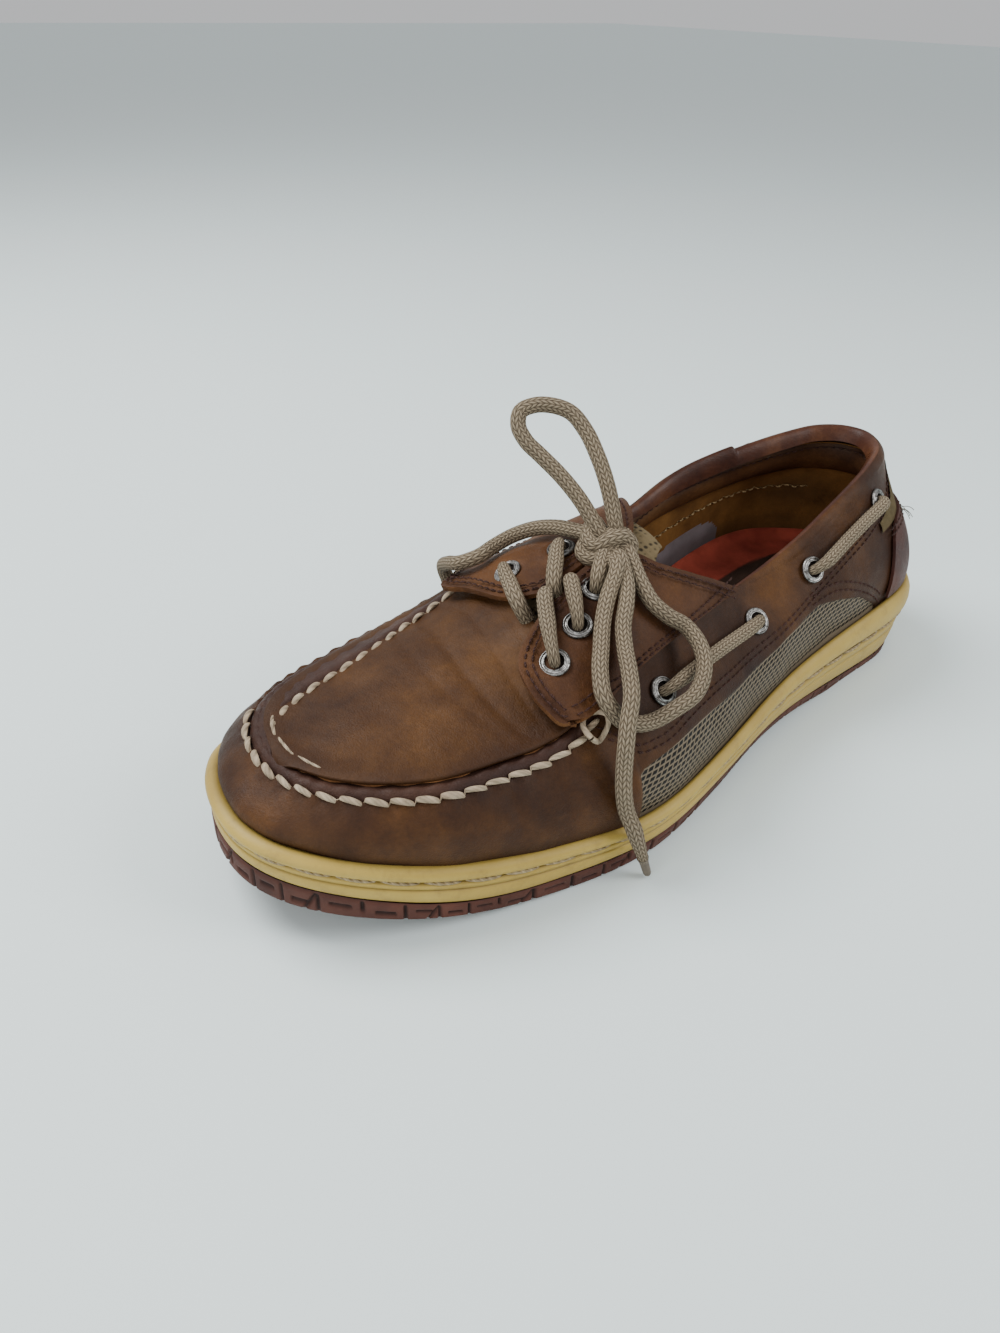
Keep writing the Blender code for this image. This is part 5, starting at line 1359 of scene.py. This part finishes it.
for level in levels:
    uneven = run / 0.0108 + 0.16 * np.sin(run / 0.0091) + 0.1 * np.sin(run / 0.0237)
    cell = np.floor(uneven)
    local = uneven - cell
    slit = np.exp(-((local - 0.12) / 0.048)**4)
    slit = slit * np.where(np.mod(cell, 4) == 1, smooth_step(level, 0.4, 0.46), 1.0)
    second = np.exp(-((local - 0.12 - 0.4 * (1 - level)) / 0.05)**4) * (np.mod(cell, 3) == 0)
    dash_level = np.where(np.mod(cell, 2) == 0, 0.42, 0.6)
    dash = np.exp(-((level - dash_level) / 0.085)**4) * smooth_step(local, 0.34, 0.38)
    dash = dash * (1 - smooth_step(local, 0.82, 0.86))
    cutting = np.clip(slit + dash + second, 0.0, 1.0) * smooth_step(level, 0.02, 0.12)
    cutting = cutting * (1.0 - smooth_step(level, 0.86, 0.96))
    shallow = 0.25 + 0.75 * smooth_step(top - tread, 0.0035, 0.0055)
    corner = 0.0012 * max(0.0, 1.0 - level / 0.16)**2 + 0.0006 * max(0.0, (level - 0.9) / 0.1)
    lines.append(side_point(place, corner + cutting * 0.0011 * shallow, tread + (top - tread) * level))
    # The cuts and the top strip under the cup are painted darker, as shade in the recesses.
    dark.append(cutting * shallow * 0.85 + 0.25 * (level > 0.95))
edge_piece = grid_piece("outsole_edge", np.array(lines), outsole_rubber, close=True,
                        layers={"wear_and_shade": np.array(dark)})
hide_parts("outsole")
rows, across = grid_of((0.0, LAST_ROW, 640), (0.0, 1.0, 40))
ends = []
for side in ("outer", "inner"):
    places = row_size(side, rows)
    ends.append(side_point(places, 0.0012, tread_height(places)))
points = ends[0] * (1 - across[..., None]) + ends[1] * across[..., None]
along = 0.5 - points[..., 1] / LENGTH
wave = points[..., 1] + 0.0016 * (2 * np.abs(np.mod(points[..., 0] / 0.009, 2) - 1) - 1)
sipe = np.exp(-((np.mod(wave / 0.0052, 1.0) - 0.5) / 0.1)**2)
edge_far = np.minimum(np.linalg.norm(points - ends[0], axis=-1), np.linalg.norm(points - ends[1], axis=-1))
tread_zone = smooth_step(edge_far, 0.006, 0.008) * (1 - np.exp(-((along - 0.4) / 0.075)**4))
groove = 0.0
for start, count in ((0.045, 4), (0.545, 5)):
    for i in range(count):
        y = (0.5 - start) * LENGTH - i * 0.015
        groove = np.maximum(groove, np.exp(-((points[..., 1] - y) / 0.0009)**4))
depth = np.maximum(0.0009 * sipe * tread_zone, 0.0013 * groove)
# The sipes and grooves are painted darker by their depth, as shade.
bottom = grid_piece("outsole_tread", points + UP * depth[..., None], outsole_rubber,
                    layers={"wear_and_shade": depth / 0.0013 * 0.8})

# Seam ends
# Where the moccasin seam stops at the stays, the thick thread is lashed once round the fold.
for side, row in (("outer", 11.75), ("inner", 12.9)):
    place = row_size(side, row)
    centre = wall_over(place, 0.97, 0.0016)
    ahead = unit(wall_over(place + 0.004, 0.97, 0.0016) - wall_over(place - 0.004, 0.97, 0.0016))
    out = wall_out(place, 0.9)
    other = unit(np.cross(ahead, out))
    path = []
    for i in range(13):
        angle = 2 * math.pi * i / 12
        path.append(centre + ahead * math.cos(angle) * 0.0046 + other * math.sin(angle) * 0.004
                    + out * (0.0012 + 0.0014 * math.cos(2 * angle)))
    tube_piece("seam_lash_" + side, path, 0.00085, WHITE_THREAD, 10, 0.0005)

# Lace tips
# Each end is drawn into a thin hard tip of clear grey-brown film.
TIP_TAPER = ((0.0, 0.15, 0.9, 1.0), (1.25, 1.0, 0.86, 0.6))
tip_film = Paint("tip_film", 0.38, 0.5)
film_colour = tip_film.ramp(tip_film.noise(500.0), (0.3, (0.075, 0.055, 0.035)), (0.7, (0.14, 0.105, 0.07)))
tip_film.give("Base Color", film_colour)
for node_name, line in LACE_TIPS:
    ahead = unit(line[-1] - line[-6])
    path = [line[-1] + ahead * reach for reach in (-0.001, 0.0015, 0.004, 0.007)]
    tube_piece(node_name + "_tip", path, 0.0015, tip_film, 16, 0.0005, TIP_TAPER)

# Floor and light
floor_paint = Paint("floor", 0.55, 0.3)
floor_paint.give("Base Color", (0.79, 0.89, 0.885))
floor_mesh = bmesh.new()
bmesh.ops.create_grid(floor_mesh, x_segments=1, y_segments=1, size=6.0)
floor_data = bpy.data.meshes.new("floor")
floor_mesh.to_mesh(floor_data)
floor_mesh.free()
floor_data.materials.append(floor_paint.material)
floor = new_object("floor", floor_data)
world = bpy.data.worlds.new("studio")
world.use_nodes = True
background = world.node_tree.nodes["Background"].inputs
background["Color"].default_value = (0.97, 0.98, 1.0, 1.0)
background["Strength"].default_value = 0.62
bpy.context.scene.world = world
for name, place, aim, size, power in (
        ("key light", (-0.55, -0.35, 0.95), (0.0, 0.0, 0.03), 0.7, 13.0),
        ("window light", (0.75, 0.55, 0.75), (0.0, 0.02, 0.04), 0.6, 7.0),
        ("front light", (0.35, -0.95, 0.45), (0.0, 0.0, 0.03), 0.8, 4.0)):
    lamp = bpy.data.lights.new(name, "AREA")
    lamp.shape = "DISK"
    lamp.size = size
    lamp.energy = power
    light = new_object(name, lamp)
    direction = Vector(place) - Vector(aim)
    light.matrix_world = Matrix.Translation(place) @ direction.to_track_quat("Z", "Y").to_matrix().to_4x4()
